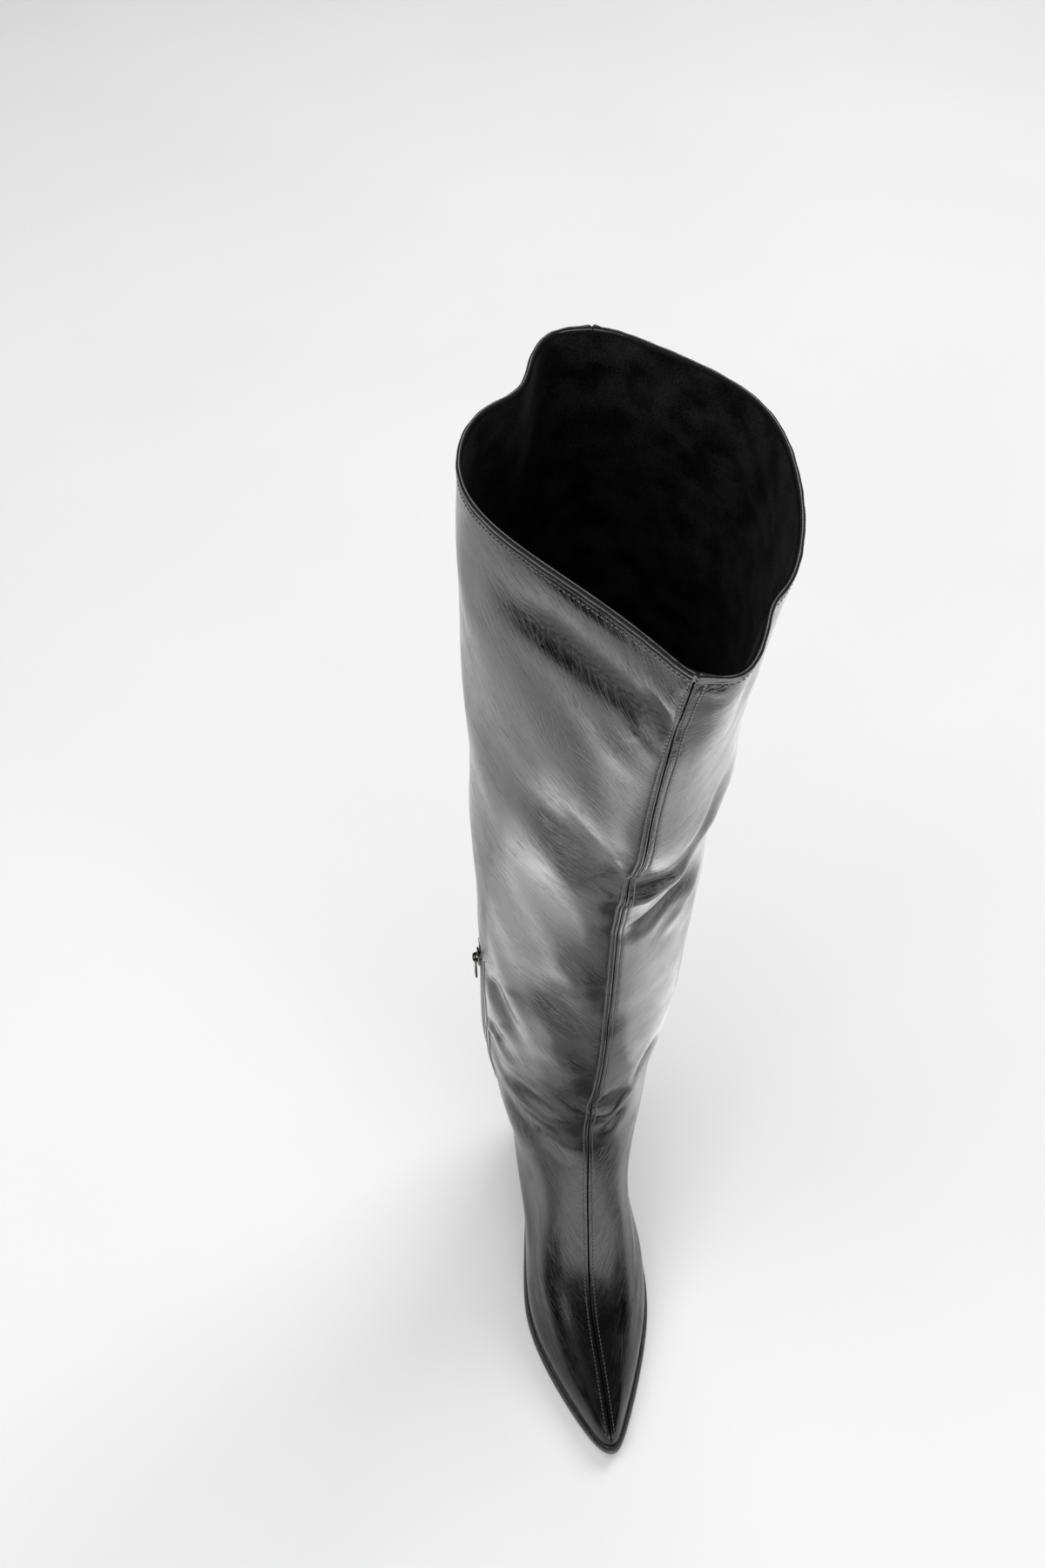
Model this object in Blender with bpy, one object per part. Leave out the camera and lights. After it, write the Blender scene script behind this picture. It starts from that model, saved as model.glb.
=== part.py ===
"""Over-the-knee boot for the left foot: a hollow two-panel leather upper on a pointed last,
a thin outsole, a covered block heel with its top lift, an insole, and a half-length zip on
the inner side with a swinging pull tab.

Frame, in metres: the origin is on the floor under the middle of the heel's contact face,
+Z is up, the toe points to -Y, and +X is the outer (little-toe) side of the foot.

The upper is one surface of two parameters.  A ring runs round the boot from the front seam
(0 degrees) over the outer side (90), the back seam (180) and the inner side (270).  The
lowest ring is the feather edge, where the upper meets the sole, and the highest the collar.
The rings fan out round the instep, as a maker's shells do round a last, and a natural cubic
spline joins each ring to the next.
"""
import math

import bmesh
import bpy
import numpy as np
from mathutils import Matrix, Vector

MM = 0.001

# Driving sizes ---------------------------------------------------------------------------
TOE_Y = -0.2220           # tip of the outsole
HEEL_Y = 0.0262           # back of the outsole
COLLAR_HEIGHT = 0.6250    # floor to the topline
SOLE_THICK = 0.0040
WALL = 0.0020             # leather and lining together
GAP = 0.0003              # between pieces that touch
SEAT_GAP = 0.0006         # between the curved layers over the sole
TOE_X = -0.0022           # the toe's tip lies a little to the inner side
TOE_SWING = (-0.130, -0.020)    # where the foot's middle line swings back from it

# Underside of the sole along the foot: toe spring, flat tread, shank and heel seat (mm).
SOLE_LINE = [
    # y,     z
    (-222.0, 7.5), (-210.0, 4.2), (-195.0, 1.4), (-178.0, 0.0), (-150.0, 0.0), (-128.0, 0.0),
    (-115.0, 2.2), (-100.0, 9.0), (-80.0, 25.5), (-60.0, 46.0), (-40.0, 65.0), (-20.0, 78.0),
    (0.0, 85.0), (28.0, 89.0),
]

# Plan outline of the sole as a stretched circle: at each angle from the toe (0) to the heel
# (180) the half-width is its column times the sine of the angle (mm).
SOLE_OUTLINE = [
    # angle, outer, inner
    (0.0, 24.0, 25.0), (20.0, 24.0, 26.0), (40.0, 29.0, 29.8), (60.0, 36.7, 36.2),
    (75.0, 41.0, 38.2), (90.0, 39.5, 34.5), (100.0, 34.7, 31.6), (110.0, 31.8, 29.8),
    (135.0, 37.5, 37.5), (160.0, 55.0, 54.0), (180.0, 58.0, 58.0),
]

# One row for each ring of the upper (mm): where it crosses the front seam and the back seam,
# how far the front seam lies to the outer side there, and how much of the ring is foot
# (1 follows the last's outline, 0 follows the shaft's girths below).
RINGS = [
    # front_y, front_z, back_y, back_z, seam_x, foot
    (-218.6, 12.3, 25.0, 92.9, -2.2, 1.00),
    (-215.4, 18.6, 26.2, 101.0, -2.2, 1.00),
    (-199.0, 24.6, 27.2, 109.5, -2.2, 1.00),
    (-179.0, 30.4, 27.6, 117.5, -2.2, 1.00),
    (-157.0, 37.6, 27.4, 125.5, -2.6, 1.00),
    (-137.0, 48.4, 26.4, 133.5, -2.0, 1.00),
    (-120.0, 63.2, 24.8, 142.0, -0.2, 0.85),
    (-107.0, 80.6, 22.5, 152.0, 1.2, 0.55),
    (-96.5, 98.0, 20.0, 164.0, 2.4, 0.25),
    (-87.0, 117.0, 17.0, 179.0, 3.8, 0.08),
    (-80.0, 142.0, 14.5, 198.0, 4.5, 0.00),
    (-80.0, 170.0, 13.5, 218.0, 6.2, 0.00),
    (-84.0, 215.0, 15.0, 250.0, 9.0, 0.00),
    (-86.8, 275.0, 19.0, 295.0, 10.0, 0.00),
    (-92.5, 335.0, 22.5, 345.0, 9.5, 0.00),
    (-105.0, 395.0, 22.5, 400.0, 8.0, 0.00),
    (-126.0, 445.0, 20.5, 448.0, 8.0, 0.00),
    (-143.5, 505.0, 18.5, 505.0, 7.0, 0.00),
    (-162.0, 570.0, 17.0, 568.0, 6.5, 0.00),
    (-177.0, 625.0, 16.0, 625.0, 8.5, 0.00),
]

# Girths of the shaft (mm): at each height, the half-width divided by the sine of the angle
# from the front seam, on the outer side and on the inner side.
GIRTHS = [
    # height, outer 30, 60, 90, 120, 150, inner 30, 60, 90, 120, 150
    (60.0, 27.5, 28.5, 28.5, 31.0, 35.0, 31.5, 32.5, 33.5, 34.5, 36.0),
    (85.0, 30.5, 31.5, 32.0, 34.0, 36.5, 32.5, 34.0, 35.0, 36.0, 37.0),
    (110.0, 33.0, 34.5, 35.5, 37.0, 38.0, 34.5, 37.0, 38.5, 39.0, 38.5),
    (130.0, 36.5, 38.5, 39.5, 40.0, 39.5, 38.0, 42.0, 44.5, 44.5, 42.0),
    (160.0, 40.0, 42.5, 44.0, 43.5, 41.5, 41.0, 46.0, 51.0, 51.0, 45.0),
    (210.0, 43.5, 46.0, 47.5, 47.0, 44.0, 44.0, 52.0, 57.5, 56.0, 48.0),
    (280.0, 46.0, 50.0, 51.5, 51.0, 46.0, 46.0, 55.0, 60.5, 58.0, 49.0),
    (340.0, 46.0, 52.0, 54.5, 54.0, 48.0, 46.0, 55.5, 61.0, 59.0, 50.0),
    (400.0, 45.0, 52.5, 56.0, 56.0, 50.0, 42.0, 53.5, 60.5, 60.0, 50.0),
    (450.0, 46.0, 53.0, 57.0, 57.5, 50.0, 38.0, 50.5, 61.0, 61.0, 51.0),
    (505.0, 47.5, 53.0, 57.0, 58.0, 49.0, 33.0, 47.0, 61.5, 62.0, 52.0),
    (570.0, 49.0, 54.0, 58.5, 59.0, 45.0, 26.0, 43.0, 62.0, 63.0, 53.0),
    (625.0, 50.0, 55.5, 59.5, 59.5, 42.0, 20.0, 39.0, 62.5, 64.0, 55.0),
]

# The last's cross-section: an arch that stands up steeply and swells a little low down.
ARCH_POWER = 2.8
LAST_BULGE = 0.0015

# Where the quarters leave the last: heights above the sole, and places along the foot.
SLACK_RISE = (0.005, 0.045)
SLACK_FROM = (-0.115, -0.060)

# Waves of the slack collar: where they lie, how far they reach and how far they push out.
WAVES = [
    # angle, reach (degrees), height, reach down (mm), push (mm)
    (18.0, 14.0, 630.0, 55.0, 7.5),
    (42.0, 8.0, 625.0, 60.0, -3.0),
    (222.0, 13.0, 630.0, 75.0, -10.0),
    (199.0, 16.0, 630.0, 60.0, 4.5),
]

# Raised front and back seams: the two turned edges stand on each side of the stitched groove.
SEAM_EDGE_DEG = (1.5, 4.4)      # groove to ridge, and the ridge's outer foot, in degrees
SEAM_RIDGE = 0.0006
SEAM_GROOVE = 0.0003
COLLAR_BAND = 0.0060            # width of the folded collar edge, a step in the wall
COLLAR_STEP = 0.0005
RIM_ROUND = 0.0012              # height of the folded edge's round top
SEAM_FADE = (0.02, 0.05)        # stations over which the seams rise from the sole

# Zip on the inner side, as (height, y) of its middle line (mm), from its foot to its head.
ZIP_ROUTE = [(100.0, -20.0), (125.0, -26.0), (155.0, -31.0), (200.0, -33.0), (290.0, -32.0)]
ZIP_SLOT_HALF = 0.0026
ZIP_FOOT_Z = 0.1040
ZIP_HEAD_Z = 0.2710
TAPE_HALF = 0.0100
TAPE_THICK = 0.0008
TEETH_HALF = 0.0022
TEETH_SINK = 0.0003             # the teeth lie this far below the leather's face
TAPE_GAP = 0.0009
TAPE_LOW_Z = 0.0970
TAPE_HIGH_Z = 0.2830
TEETH_LOW_Z = 0.1046
SLIDER_Z = 0.2630               # the closed slider's middle
TEETH_HIGH_Z = 0.2636
SLIDER_HALF = 0.0042
SLIDER_LONG = 0.0120
SLIDER_LIFT = 0.0004            # underside of its face plate above the leather
SLIDER_FACE = 0.0016            # outside of its face plate
SLIDER_CORNER = 0.0012
SLIDER_WAIST = 0.78             # its lower end's width as a share of its widest
SLIDER_SUNK = 0.0004            # the neck and the bridge start this deep in the plate
NECK_HALF = 0.0014              # the neck, which parts the teeth above the slider's middle
NECK_LOW = 0.0016
NECK_HIGH = 0.0046
NECK_DEEP = 0.0018
BRIDGE_HALF = 0.0012
BRIDGE_REACH = 0.0034
BRIDGE_TOP = 0.0044
BRIDGE_BAR = 0.0008
BRIDGE_CORNER = 0.0010
PULL_AXIS_OUT = 0.0026
PULL_HALF = 0.0027
PULL_BAR_TOP = 0.0005           # the bar that turns in the bridge, above and below its axis
PULL_BAR_UNDER = 0.0004
PULL_EYE_HALF = 0.0017
PULL_EYE = 0.0052
PULL_LONG = 0.0180
PULL_THICK = 0.0011
PULL_CORNER = 0.0014
PULL_SMALL_CORNER = 0.0006

# Lasting margin: the upper's edge turned in under the insole, toward the foot's spine.
SPINE = (-0.190, -0.004)
MARGIN_WIDTH = 0.0090
MARGIN_THICK = 0.0016
INSOLE_THICK = 0.0022
INSOLE_PLAY = 0.0019            # between the board and the wall
INSOLE_TOE_GAP = 0.0045         # the board stops short of the low toe
INSOLE_TOE_FROM = -0.1800       # and draws in from here on

# Sole edge: how far the sole stands out past the upper, and its rounded side.
EDGE_FORE = 0.0034
EDGE_HEEL = 0.0012
EDGE_TURN = (78.0, 112.0)        # degrees between which it narrows

# Heel block and top lift: plan outlines at the floor and under the sole.
LIFT_THICK = 0.0060
HEEL_FOOT = dict(front=-0.0190, back=0.0190, half=0.0190)
HEEL_CORNER = math.radians(132.0)       # where the round back gives way to the breast
HEEL_SQUARENESS = 0.6           # power of the sine: 1 is an ellipse, less is squarer
HEEL_FLARE = 1.6                # power by which the plan grows from floor to sole
HEEL_SEAT_FRONT = -0.0340
HEEL_SEAT_INSET = 0.0008
HEEL_BACK_CURVE = 0.0030        # how far the heel's back hollows in between its ends
LIFT_CHAMFER = 0.0005

# Counts of the meshes.
SIDE_COLUMNS = 27               # between the seams, on either side
BACK_COLUMNS = 12               # of them, on the inner side, those behind the zip
CROWDING = 0.15                 # how much closer the columns lie at the toe and heel
ROWS_BELOW_ZIP = 5
ROWS_BESIDE_ZIP = 14
ROWS_ABOVE_ZIP = 12
HEEL_ARC_POINTS = 25
HEEL_ROWS = 9
BREAST_POINTS = 4
TAPE_ROWS = 30
TEETH_ROWS = 19


# Curves ----------------------------------------------------------------------------------
def bend_rates(knots, values):
    """Second derivatives of the natural cubic splines through the columns of values."""
    count = len(knots)
    step = np.diff(knots)
    matrix = np.eye(count)
    right = np.zeros_like(values)
    for i in range(1, count - 1):
        matrix[i, i - 1:i + 2] = step[i - 1], 2.0 * (step[i - 1] + step[i]), step[i]
        rise = (values[i + 1] - values[i]) / step[i] - (values[i] - values[i - 1]) / step[i - 1]
        right[i] = 6.0 * rise
    return np.linalg.solve(matrix, right)


def spline(knots, values, at):
    """Natural cubic spline: one column of values read at many places, or many columns of
    values, each read at its own place."""
    knots, values = np.asarray(knots, float), np.asarray(values, float)
    rates = bend_rates(knots, values)
    i = np.clip(np.searchsorted(knots, at) - 1, 0, len(knots) - 2)
    column = np.arange(len(at))
    low, high = (i, i + 1) if values.ndim == 1 else ((i, column), (i + 1, column))
    step = knots[i + 1] - knots[i]
    before, after = at - knots[i], knots[i + 1] - at
    bend = (rates[low] * after ** 3 + rates[high] * before ** 3) / (6.0 * step)
    return (bend + (values[low] / step - rates[low] * step / 6.0) * after
            + (values[high] / step - rates[high] * step / 6.0) * before)


def steady(knots, values, at):
    """Cubic through the points that never overshoots between them, straight past its ends."""
    knots, values = np.asarray(knots, float), np.asarray(values, float)
    step = np.diff(knots)
    slope = np.diff(values) / step
    tangent = np.zeros_like(values)
    rising = slope[:-1] * slope[1:] > 0
    safe = np.where(rising, slope[:-1] * slope[1:], 1.0)
    mean = (slope[:-1] + slope[1:]) / 2.0
    tangent[1:-1] = np.where(rising, safe / np.where(rising, mean, 1.0), 0.0)
    tangent[0], tangent[-1] = slope[0], slope[-1]
    inside = np.clip(at, knots[0], knots[-1])
    i = np.clip(np.searchsorted(knots, inside) - 1, 0, len(step) - 1)
    t = (inside - knots[i]) / step[i]
    result = ((1 + 2 * t) * (1 - t) ** 2 * values[i] + t * (1 - t) ** 2 * step[i] * tangent[i]
              + t * t * (3 - 2 * t) * values[i + 1] + t * t * (t - 1) * step[i] * tangent[i + 1])
    return result + np.where(at > knots[-1], (at - knots[-1]) * slope[-1], 0.0)


def smooth(value, start, end):
    """0 at start, 1 at end, and a soft step between, whichever way they run."""
    t = np.clip((value - start) / (end - start), 0.0, 1.0)
    return t * t * (3.0 - 2.0 * t)


# Sole lines ------------------------------------------------------------------------------
def sole_under(y):
    """Height of the sole's underside at y."""
    table = np.array(SOLE_LINE) * MM
    return steady(table[:, 0], table[:, 1], np.asarray(y, float))


def sole_top(y):
    """Height of the sole's upper face at y."""
    return sole_under(y) + SOLE_THICK


def edge_width(angle):
    """How far the sole stands out past the upper: wide round the toe, narrow at the heel."""
    return EDGE_FORE + (EDGE_HEEL - EDGE_FORE) * smooth(angle, *EDGE_TURN)


def sole_half_width(angle, outer, inset=0.0):
    """Half-width of the sole's outline at an angle of 0 to 180, less inset times the edge."""
    table = np.array(SOLE_OUTLINE)
    column = 1 if outer else 2
    stretch = spline(table[:, 0], table[:, column], angle) * MM - inset * edge_width(angle)
    return stretch * np.sin(np.radians(angle))


def centre_x(y):
    """The foot's middle line: it swings from the toe's tip to the heel."""
    return TOE_X * (1.0 - smooth(y, *TOE_SWING))


def spread(low, high, count):
    """Angles from low to high, a little closer together at both ends."""
    share = np.linspace(0.0, 1.0, count)
    return low + (high - low) * (share - CROWDING * np.sin(2.0 * np.pi * share) / (2.0 * np.pi))


def foot_angles():
    """Angles of the points round the foot, the same on both sides, for sole and upper alike."""
    ridge, edge = SEAM_EDGE_DEG
    outer = spread(edge, 180.0 - edge, SIDE_COLUMNS)
    half = np.concatenate([[ridge], outer, [180.0 - ridge]])
    return np.concatenate([[0.0], half, [180.0], 360.0 - half[::-1]])


def outline_points(inset):
    """Points round the sole's outline, from the toe over the outer side and back."""
    angle = foot_angles()
    folded = np.where(angle <= 180.0, angle, 360.0 - angle)
    front = TOE_Y + inset * EDGE_FORE
    back = HEEL_Y - inset * EDGE_HEEL
    y = (front + back) / 2.0 - (back - front) / 2.0 * np.cos(np.radians(angle))
    x = np.where(angle <= 180.0, sole_half_width(folded, True, inset),
                 -sole_half_width(folded, False, inset))
    return np.stack([x + centre_x(y), y], axis=-1)


# Upper -----------------------------------------------------------------------------------
def feather_half_width(y, outer):
    """Half-width of the last at the feather edge, at y."""
    front, back = TOE_Y + EDGE_FORE, HEEL_Y - EDGE_HEEL
    middle, half = (front + back) / 2.0, (back - front) / 2.0
    angle = np.degrees(np.arccos(np.clip((middle - y) / half, -1.0, 1.0)))
    return sole_half_width(angle, outer, 1.0)


def crown_height(y):
    """Height of the front seam over the foot, carried on steeply past the instep."""
    rows = np.array(RINGS)[:11, :2] * MM
    beyond = np.array([[-0.060, 0.30], [0.05, 1.3]])
    line = np.vstack([rows, beyond])
    return steady(line[:, 0], line[:, 1], y)


def ring_points(row, angle):
    """Points of one ring at the given angles, as an array of x, y, z."""
    front_y, front_z, back_y, back_z, seam_x = np.array(row[:5]) * MM
    foot = row[5]
    share = (1.0 - np.cos(np.radians(angle))) / 2.0
    y = front_y + (back_y - front_y) * share
    lift_front = front_z - sole_top(front_y)
    lift_back = back_z - sole_top(back_y)
    z_foot = sole_top(y) + lift_front + (lift_back - lift_front) * share
    z_shaft = front_z + (back_z - front_z) * share
    z = foot * z_foot + (1.0 - foot) * z_shaft
    outer = np.sin(np.radians(angle)) >= 0.0
    folded = np.where(outer, np.mod(angle, 360.0), 360.0 - np.mod(angle, 360.0))
    # shaft: girths read at the ring's own height, even about both seams
    girths = np.array(GIRTHS)
    level = np.full(10, max((front_z + back_z) / 2.0 / MM, girths[0, 0]))
    stretch = spline(girths[:, 0], girths[:, 1:], level) * MM
    knots = np.array([-30.0, 30.0, 60.0, 90.0, 120.0, 150.0, 210.0])
    even = [np.concatenate([side[:1], side, side[-1:]]) for side in (stretch[:5], stretch[5:])]
    shaft = np.where(outer, spline(knots, even[0], folded), spline(knots, even[1], folded))
    half_shaft = shaft * np.abs(np.sin(np.radians(angle)))
    # foot: the feather edge's width, arched up to the crown and slightly bulged low down
    y_last = y + (HEEL_Y - EDGE_HEEL - back_y) * share ** 2
    half_last = np.where(outer, feather_half_width(y_last, True), feather_half_width(y_last, False))
    rise = np.clip((z - sole_top(y)) / (crown_height(y) - sole_top(y)), 0.0, 1.0)
    arch = np.sqrt(1.0 - rise ** ARCH_POWER)
    bulge = LAST_BULGE * np.sin(np.pi * np.clip(rise / 0.5, 0.0, 1.0))
    half_foot = half_last * arch + bulge * np.abs(np.sin(np.radians(angle)))
    # behind the instep the leather soon stands away from the narrow last
    slack = smooth(z - sole_top(y), *SLACK_RISE) * smooth(y, *SLACK_FROM)
    last_share = foot * (1.0 - slack)
    half = last_share * half_foot + (1.0 - last_share) * half_shaft
    middle = seam_x + foot * (centre_x(y) - TOE_X)
    x = np.where(outer, half, -half) + middle
    return np.stack([x, y, z], axis=-1)


def ring_stations():
    """Where each ring lies on the way up, 0 at the feather edge and 1 at the collar."""
    rows = np.array(RINGS)
    front = np.hypot(np.diff(rows[:, 0]), np.diff(rows[:, 1]))
    back = np.hypot(np.diff(rows[:, 2]), np.diff(rows[:, 3]))
    way = np.concatenate([[0.0], np.cumsum(front + back)])
    return way / way[-1]


STATIONS = ring_stations()


def base_surface(angle, station):
    """Smooth outside of the boot at arrays of angle and station, before seams and collar."""
    shape = angle.shape
    angle, station = angle.ravel(), station.ravel()
    rings = np.stack([ring_points(row, angle) for row in RINGS])
    point = np.stack([spline(STATIONS, rings[:, :, axis], station) for axis in range(3)], axis=-1)
    front, back = np.array(RINGS)[:, 0] * MM, np.array(RINGS)[:, 2] * MM
    middle_y = (spline(STATIONS, front, station) + spline(STATIONS, back, station)) / 2.0
    seam = spline(STATIONS, np.array(RINGS)[:, 4] * MM, station)
    away = np.stack([point[:, 0] - seam, point[:, 1] - middle_y], axis=-1)
    away /= np.linalg.norm(away, axis=1)[:, None]
    for wave_angle, reach, height, down, push in WAVES:
        turn = np.mod(angle - wave_angle + 180.0, 360.0) - 180.0
        amount = push * MM * np.exp(-(turn / reach) ** 2 - ((point[:, 2] / MM - height) / down) ** 2)
        point[:, :2] += amount[:, None] * away
    return point.reshape(shape + (3,))


def outward(angle, station):
    """Unit normals of the smooth outside."""
    turn, climb = 0.4, 0.002
    low = np.clip(station - climb, 0.0, 1.0)
    high = np.clip(station + climb, 0.0, 1.0)
    along = base_surface(angle + turn, station) - base_surface(angle - turn, station)
    up = base_surface(angle, high) - base_surface(angle, low)
    normal = np.cross(along, up)
    return normal / np.linalg.norm(normal, axis=-1)[..., None]


def seam_relief(angle):
    """Height of the raised seams: a groove at the seam line between two low ridges."""
    folded = np.abs(np.mod(angle + 90.0, 180.0) - 90.0)
    return np.interp(folded, (0.0,) + SEAM_EDGE_DEG + (SEAM_EDGE_DEG[1] + 0.6,),
                     (-SEAM_GROOVE, SEAM_RIDGE, SEAM_RIDGE * 0.7, 0.0))


def turn_per_metre(angle, station):
    """Degrees of angle for each metre walked round the ring."""
    step = 0.5
    chord = base_surface(angle + step, station) - base_surface(angle - step, station)
    return 2.0 * step / np.linalg.norm(chord, axis=-1)


def zip_line():
    """Stations, angles and heights of the zip's middle line, from its route in side view."""
    route = np.array(ZIP_ROUTE) * MM
    stations = np.linspace(0.02, 0.70, 69)
    trial = np.linspace(215.0, 285.0, 71)
    points = base_surface(*np.broadcast_arrays(trial[None, :], stations[:, None]))
    miss = steady(route[:, 0], route[:, 1], points[..., 2]) - points[..., 1]
    angle = np.array([np.interp(0.0, row, trial) for row in miss])
    return stations, angle, base_surface(angle, stations)[:, 2]


ZIP_LINE = zip_line()


def zip_angle(station):
    """Angle at which each station's ring crosses the zip's middle line."""
    return spline(ZIP_LINE[0], ZIP_LINE[1], np.clip(station, ZIP_LINE[0][0], ZIP_LINE[0][-1]))


def zip_station(height):
    """Station at which the zip's middle line has a height."""
    return float(np.interp(height, ZIP_LINE[2], ZIP_LINE[0]))


# Building --------------------------------------------------------------------------------
def clear_scene():
    """Empty the scene."""
    for item in list(bpy.data.objects):
        bpy.data.objects.remove(item, do_unlink=True)


def finish_material(name, hex_colour, roughness, metallic=0.0):
    """A Principled material of one colour."""
    material = bpy.data.materials.new(name)
    material.use_nodes = True
    shader = material.node_tree.nodes["Principled BSDF"]
    channels = [int(hex_colour[i:i + 2], 16) / 255.0 for i in (0, 2, 4)]
    linear = [c / 12.92 if c <= 0.04045 else ((c + 0.055) / 1.055) ** 2.4 for c in channels]
    shader.inputs["Base Color"].default_value = (*linear, 1.0)
    shader.inputs["Roughness"].default_value = roughness
    shader.inputs["Metallic"].default_value = metallic
    return material


def add_solid(name, vertices, faces, material):
    """A closed mesh object, faces out, shaded smooth with sharp edges kept."""
    mesh = bpy.data.meshes.new(name)
    mesh.from_pydata([tuple(v) for v in vertices], [], faces)
    work = bmesh.new()
    work.from_mesh(mesh)
    bmesh.ops.recalc_face_normals(work, faces=work.faces)
    work.to_mesh(mesh)
    work.free()
    mesh.materials.append(material)
    mesh.shade_smooth()
    mesh.set_sharp_from_angle(angle=math.radians(40.0))
    solid = bpy.data.objects.new(name, mesh)
    bpy.context.scene.collection.objects.link(solid)
    return solid


def loops_to_faces(rows, columns, closed_rows=False):
    """Quads of a grid whose columns close on themselves, and whose rows may too."""
    faces = []
    last = rows if closed_rows else rows - 1
    for i in range(last):
        below, above = i * columns, (i + 1) % rows * columns
        for j in range(columns):
            k = (j + 1) % columns
            faces.append((below + j, below + k, above + k, above + j))
    return faces


def cross_strips(start, count):
    """Faces that close a loop of points from the toe: strips from side to side."""
    faces = [(start, start + 1, start + count - 1)]
    for i in range(1, count // 2 - 1):
        faces.append((start + i, start + i + 1, start + count - i - 1, start + count - i))
    half = count // 2
    faces.append((start + half - 1, start + half, start + half + 1))
    return faces


def toward_spine(point, distance):
    """Move points of the feather edge in toward the foot's middle line, staying level."""
    spine_y = np.clip(point[..., 1], *SPINE)
    target = np.stack([centre_x(spine_y), spine_y], axis=-1)
    inward = target - point[..., :2]
    length = np.linalg.norm(inward, axis=-1)[..., None]
    return point[..., :2] + inward / length * np.minimum(distance, length * 0.6)


def station_rows():
    """Stations of the upper's rows, with the zip's ends and the collar's band exact."""
    head, foot = zip_station(ZIP_HEAD_Z), zip_station(ZIP_FOOT_Z)
    band = 1.0 - COLLAR_BAND / (COLLAR_HEIGHT - ZIP_HEAD_Z) * (1.0 - head)
    below = np.linspace(0.0, foot, ROWS_BELOW_ZIP + 1)
    beside = np.linspace(foot, head, ROWS_BESIDE_ZIP + 1)
    above = np.linspace(head, band - 0.0012, ROWS_ABOVE_ZIP + 1)
    rows = np.concatenate([below, beside[1:], above[1:], [band, 1.0]])
    return rows, ROWS_BELOW_ZIP, ROWS_BELOW_ZIP + ROWS_BESIDE_ZIP


def row_angles(stations):
    """Angles of the columns in every row: the foot's own at the feather edge, and on the
    inner side above it spaced so that two columns run along the zip's slot."""
    ridge, edge = SEAM_EDGE_DEG
    even = foot_angles()
    centre = zip_angle(stations)
    half = ZIP_SLOT_HALF * turn_per_metre(centre, stations)
    turned = smooth(stations, 0.0, zip_station(ZIP_FOOT_Z))
    rows = []
    for middle, slot, share in zip(centre, half, turned):
        behind = np.linspace(180.0 + edge, middle - slot, BACK_COLUMNS)
        before = np.linspace(middle + slot, 360.0 - edge, SIDE_COLUMNS - BACK_COLUMNS)
        along_zip = np.concatenate([even[:-SIDE_COLUMNS - 1], behind, before, even[-1:]])
        rows.append(even + (along_zip - even) * share)
    return np.array(rows)


def make_upper(material):
    """The leather upper: outer wall, collar edge, inner wall and the lasting margin."""
    stations, slot_low, slot_high = station_rows()
    angle = row_angles(stations)
    station = np.repeat(stations[:, None], angle.shape[1], axis=1)
    base, normal = base_surface(angle, station), outward(angle, station)
    collar = np.where(stations > stations[-3], COLLAR_STEP, 0.0)
    relief = seam_relief(angle) * smooth(station, *SEAM_FADE) + collar[:, None]
    outer_wall = base + normal * relief[..., None]
    inner_wall = base - normal * WALL
    floor_z = sole_top(base[0, :, 1])
    inner_wall[0, :, :2] = toward_spine(base[0], WALL)
    inner_wall[0, :, 2] = floor_z + SEAT_GAP + MARGIN_THICK
    outer_wall[0, :, 2] = floor_z + SEAT_GAP
    margin_xy = toward_spine(base[0], MARGIN_WIDTH)
    margin_low = np.column_stack([margin_xy, sole_top(margin_xy[:, 1]) + SEAT_GAP])
    margin_high = margin_low + [0.0, 0.0, MARGIN_THICK]
    rim_outer = outer_wall[-1] + [0.0, 0.0, RIM_ROUND / 2.0]
    rim_inner = inner_wall[-1] + [0.0, 0.0, RIM_ROUND / 2.0]
    rim_top = (outer_wall[-1] + inner_wall[-1]) / 2.0 + [0.0, 0.0, RIM_ROUND]
    loops = [*outer_wall[:-1], rim_outer, rim_top, rim_inner, *inner_wall[::-1][1:],
             margin_high, margin_low]
    vertices = np.concatenate(loops)
    columns = angle.shape[1]
    faces = loops_to_faces(len(loops), columns, closed_rows=True)
    # the zip's slot: one column of quads left out of both walls, its edges joined across
    slot = columns - 1 - SIDE_COLUMNS + BACK_COLUMNS - 1
    last = 2 * len(stations)
    outer_rows = range(slot_low, slot_high)
    inner_rows = [last - row - 1 for row in outer_rows]
    dropped = {row * columns + slot for row in (*outer_rows, *inner_rows)}
    faces = [face for face in faces if not (face[0] in dropped and face[1] == face[0] + 1)]
    for row in outer_rows:
        inner = last - row
        for column, turned in ((slot, False), (slot + 1, True)):
            quad = (row * columns + column, (row + 1) * columns + column,
                    (inner - 1) * columns + column, inner * columns + column)
            faces.append(quad[::-1] if turned else quad)
    for row, turned in ((slot_low, True), (slot_high, False)):
        inner = last - row
        quad = (row * columns + slot, row * columns + slot + 1,
                inner * columns + slot + 1, inner * columns + slot)
        faces.append(quad[::-1] if turned else quad)
    return add_solid("upper", vertices, faces, material)


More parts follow.
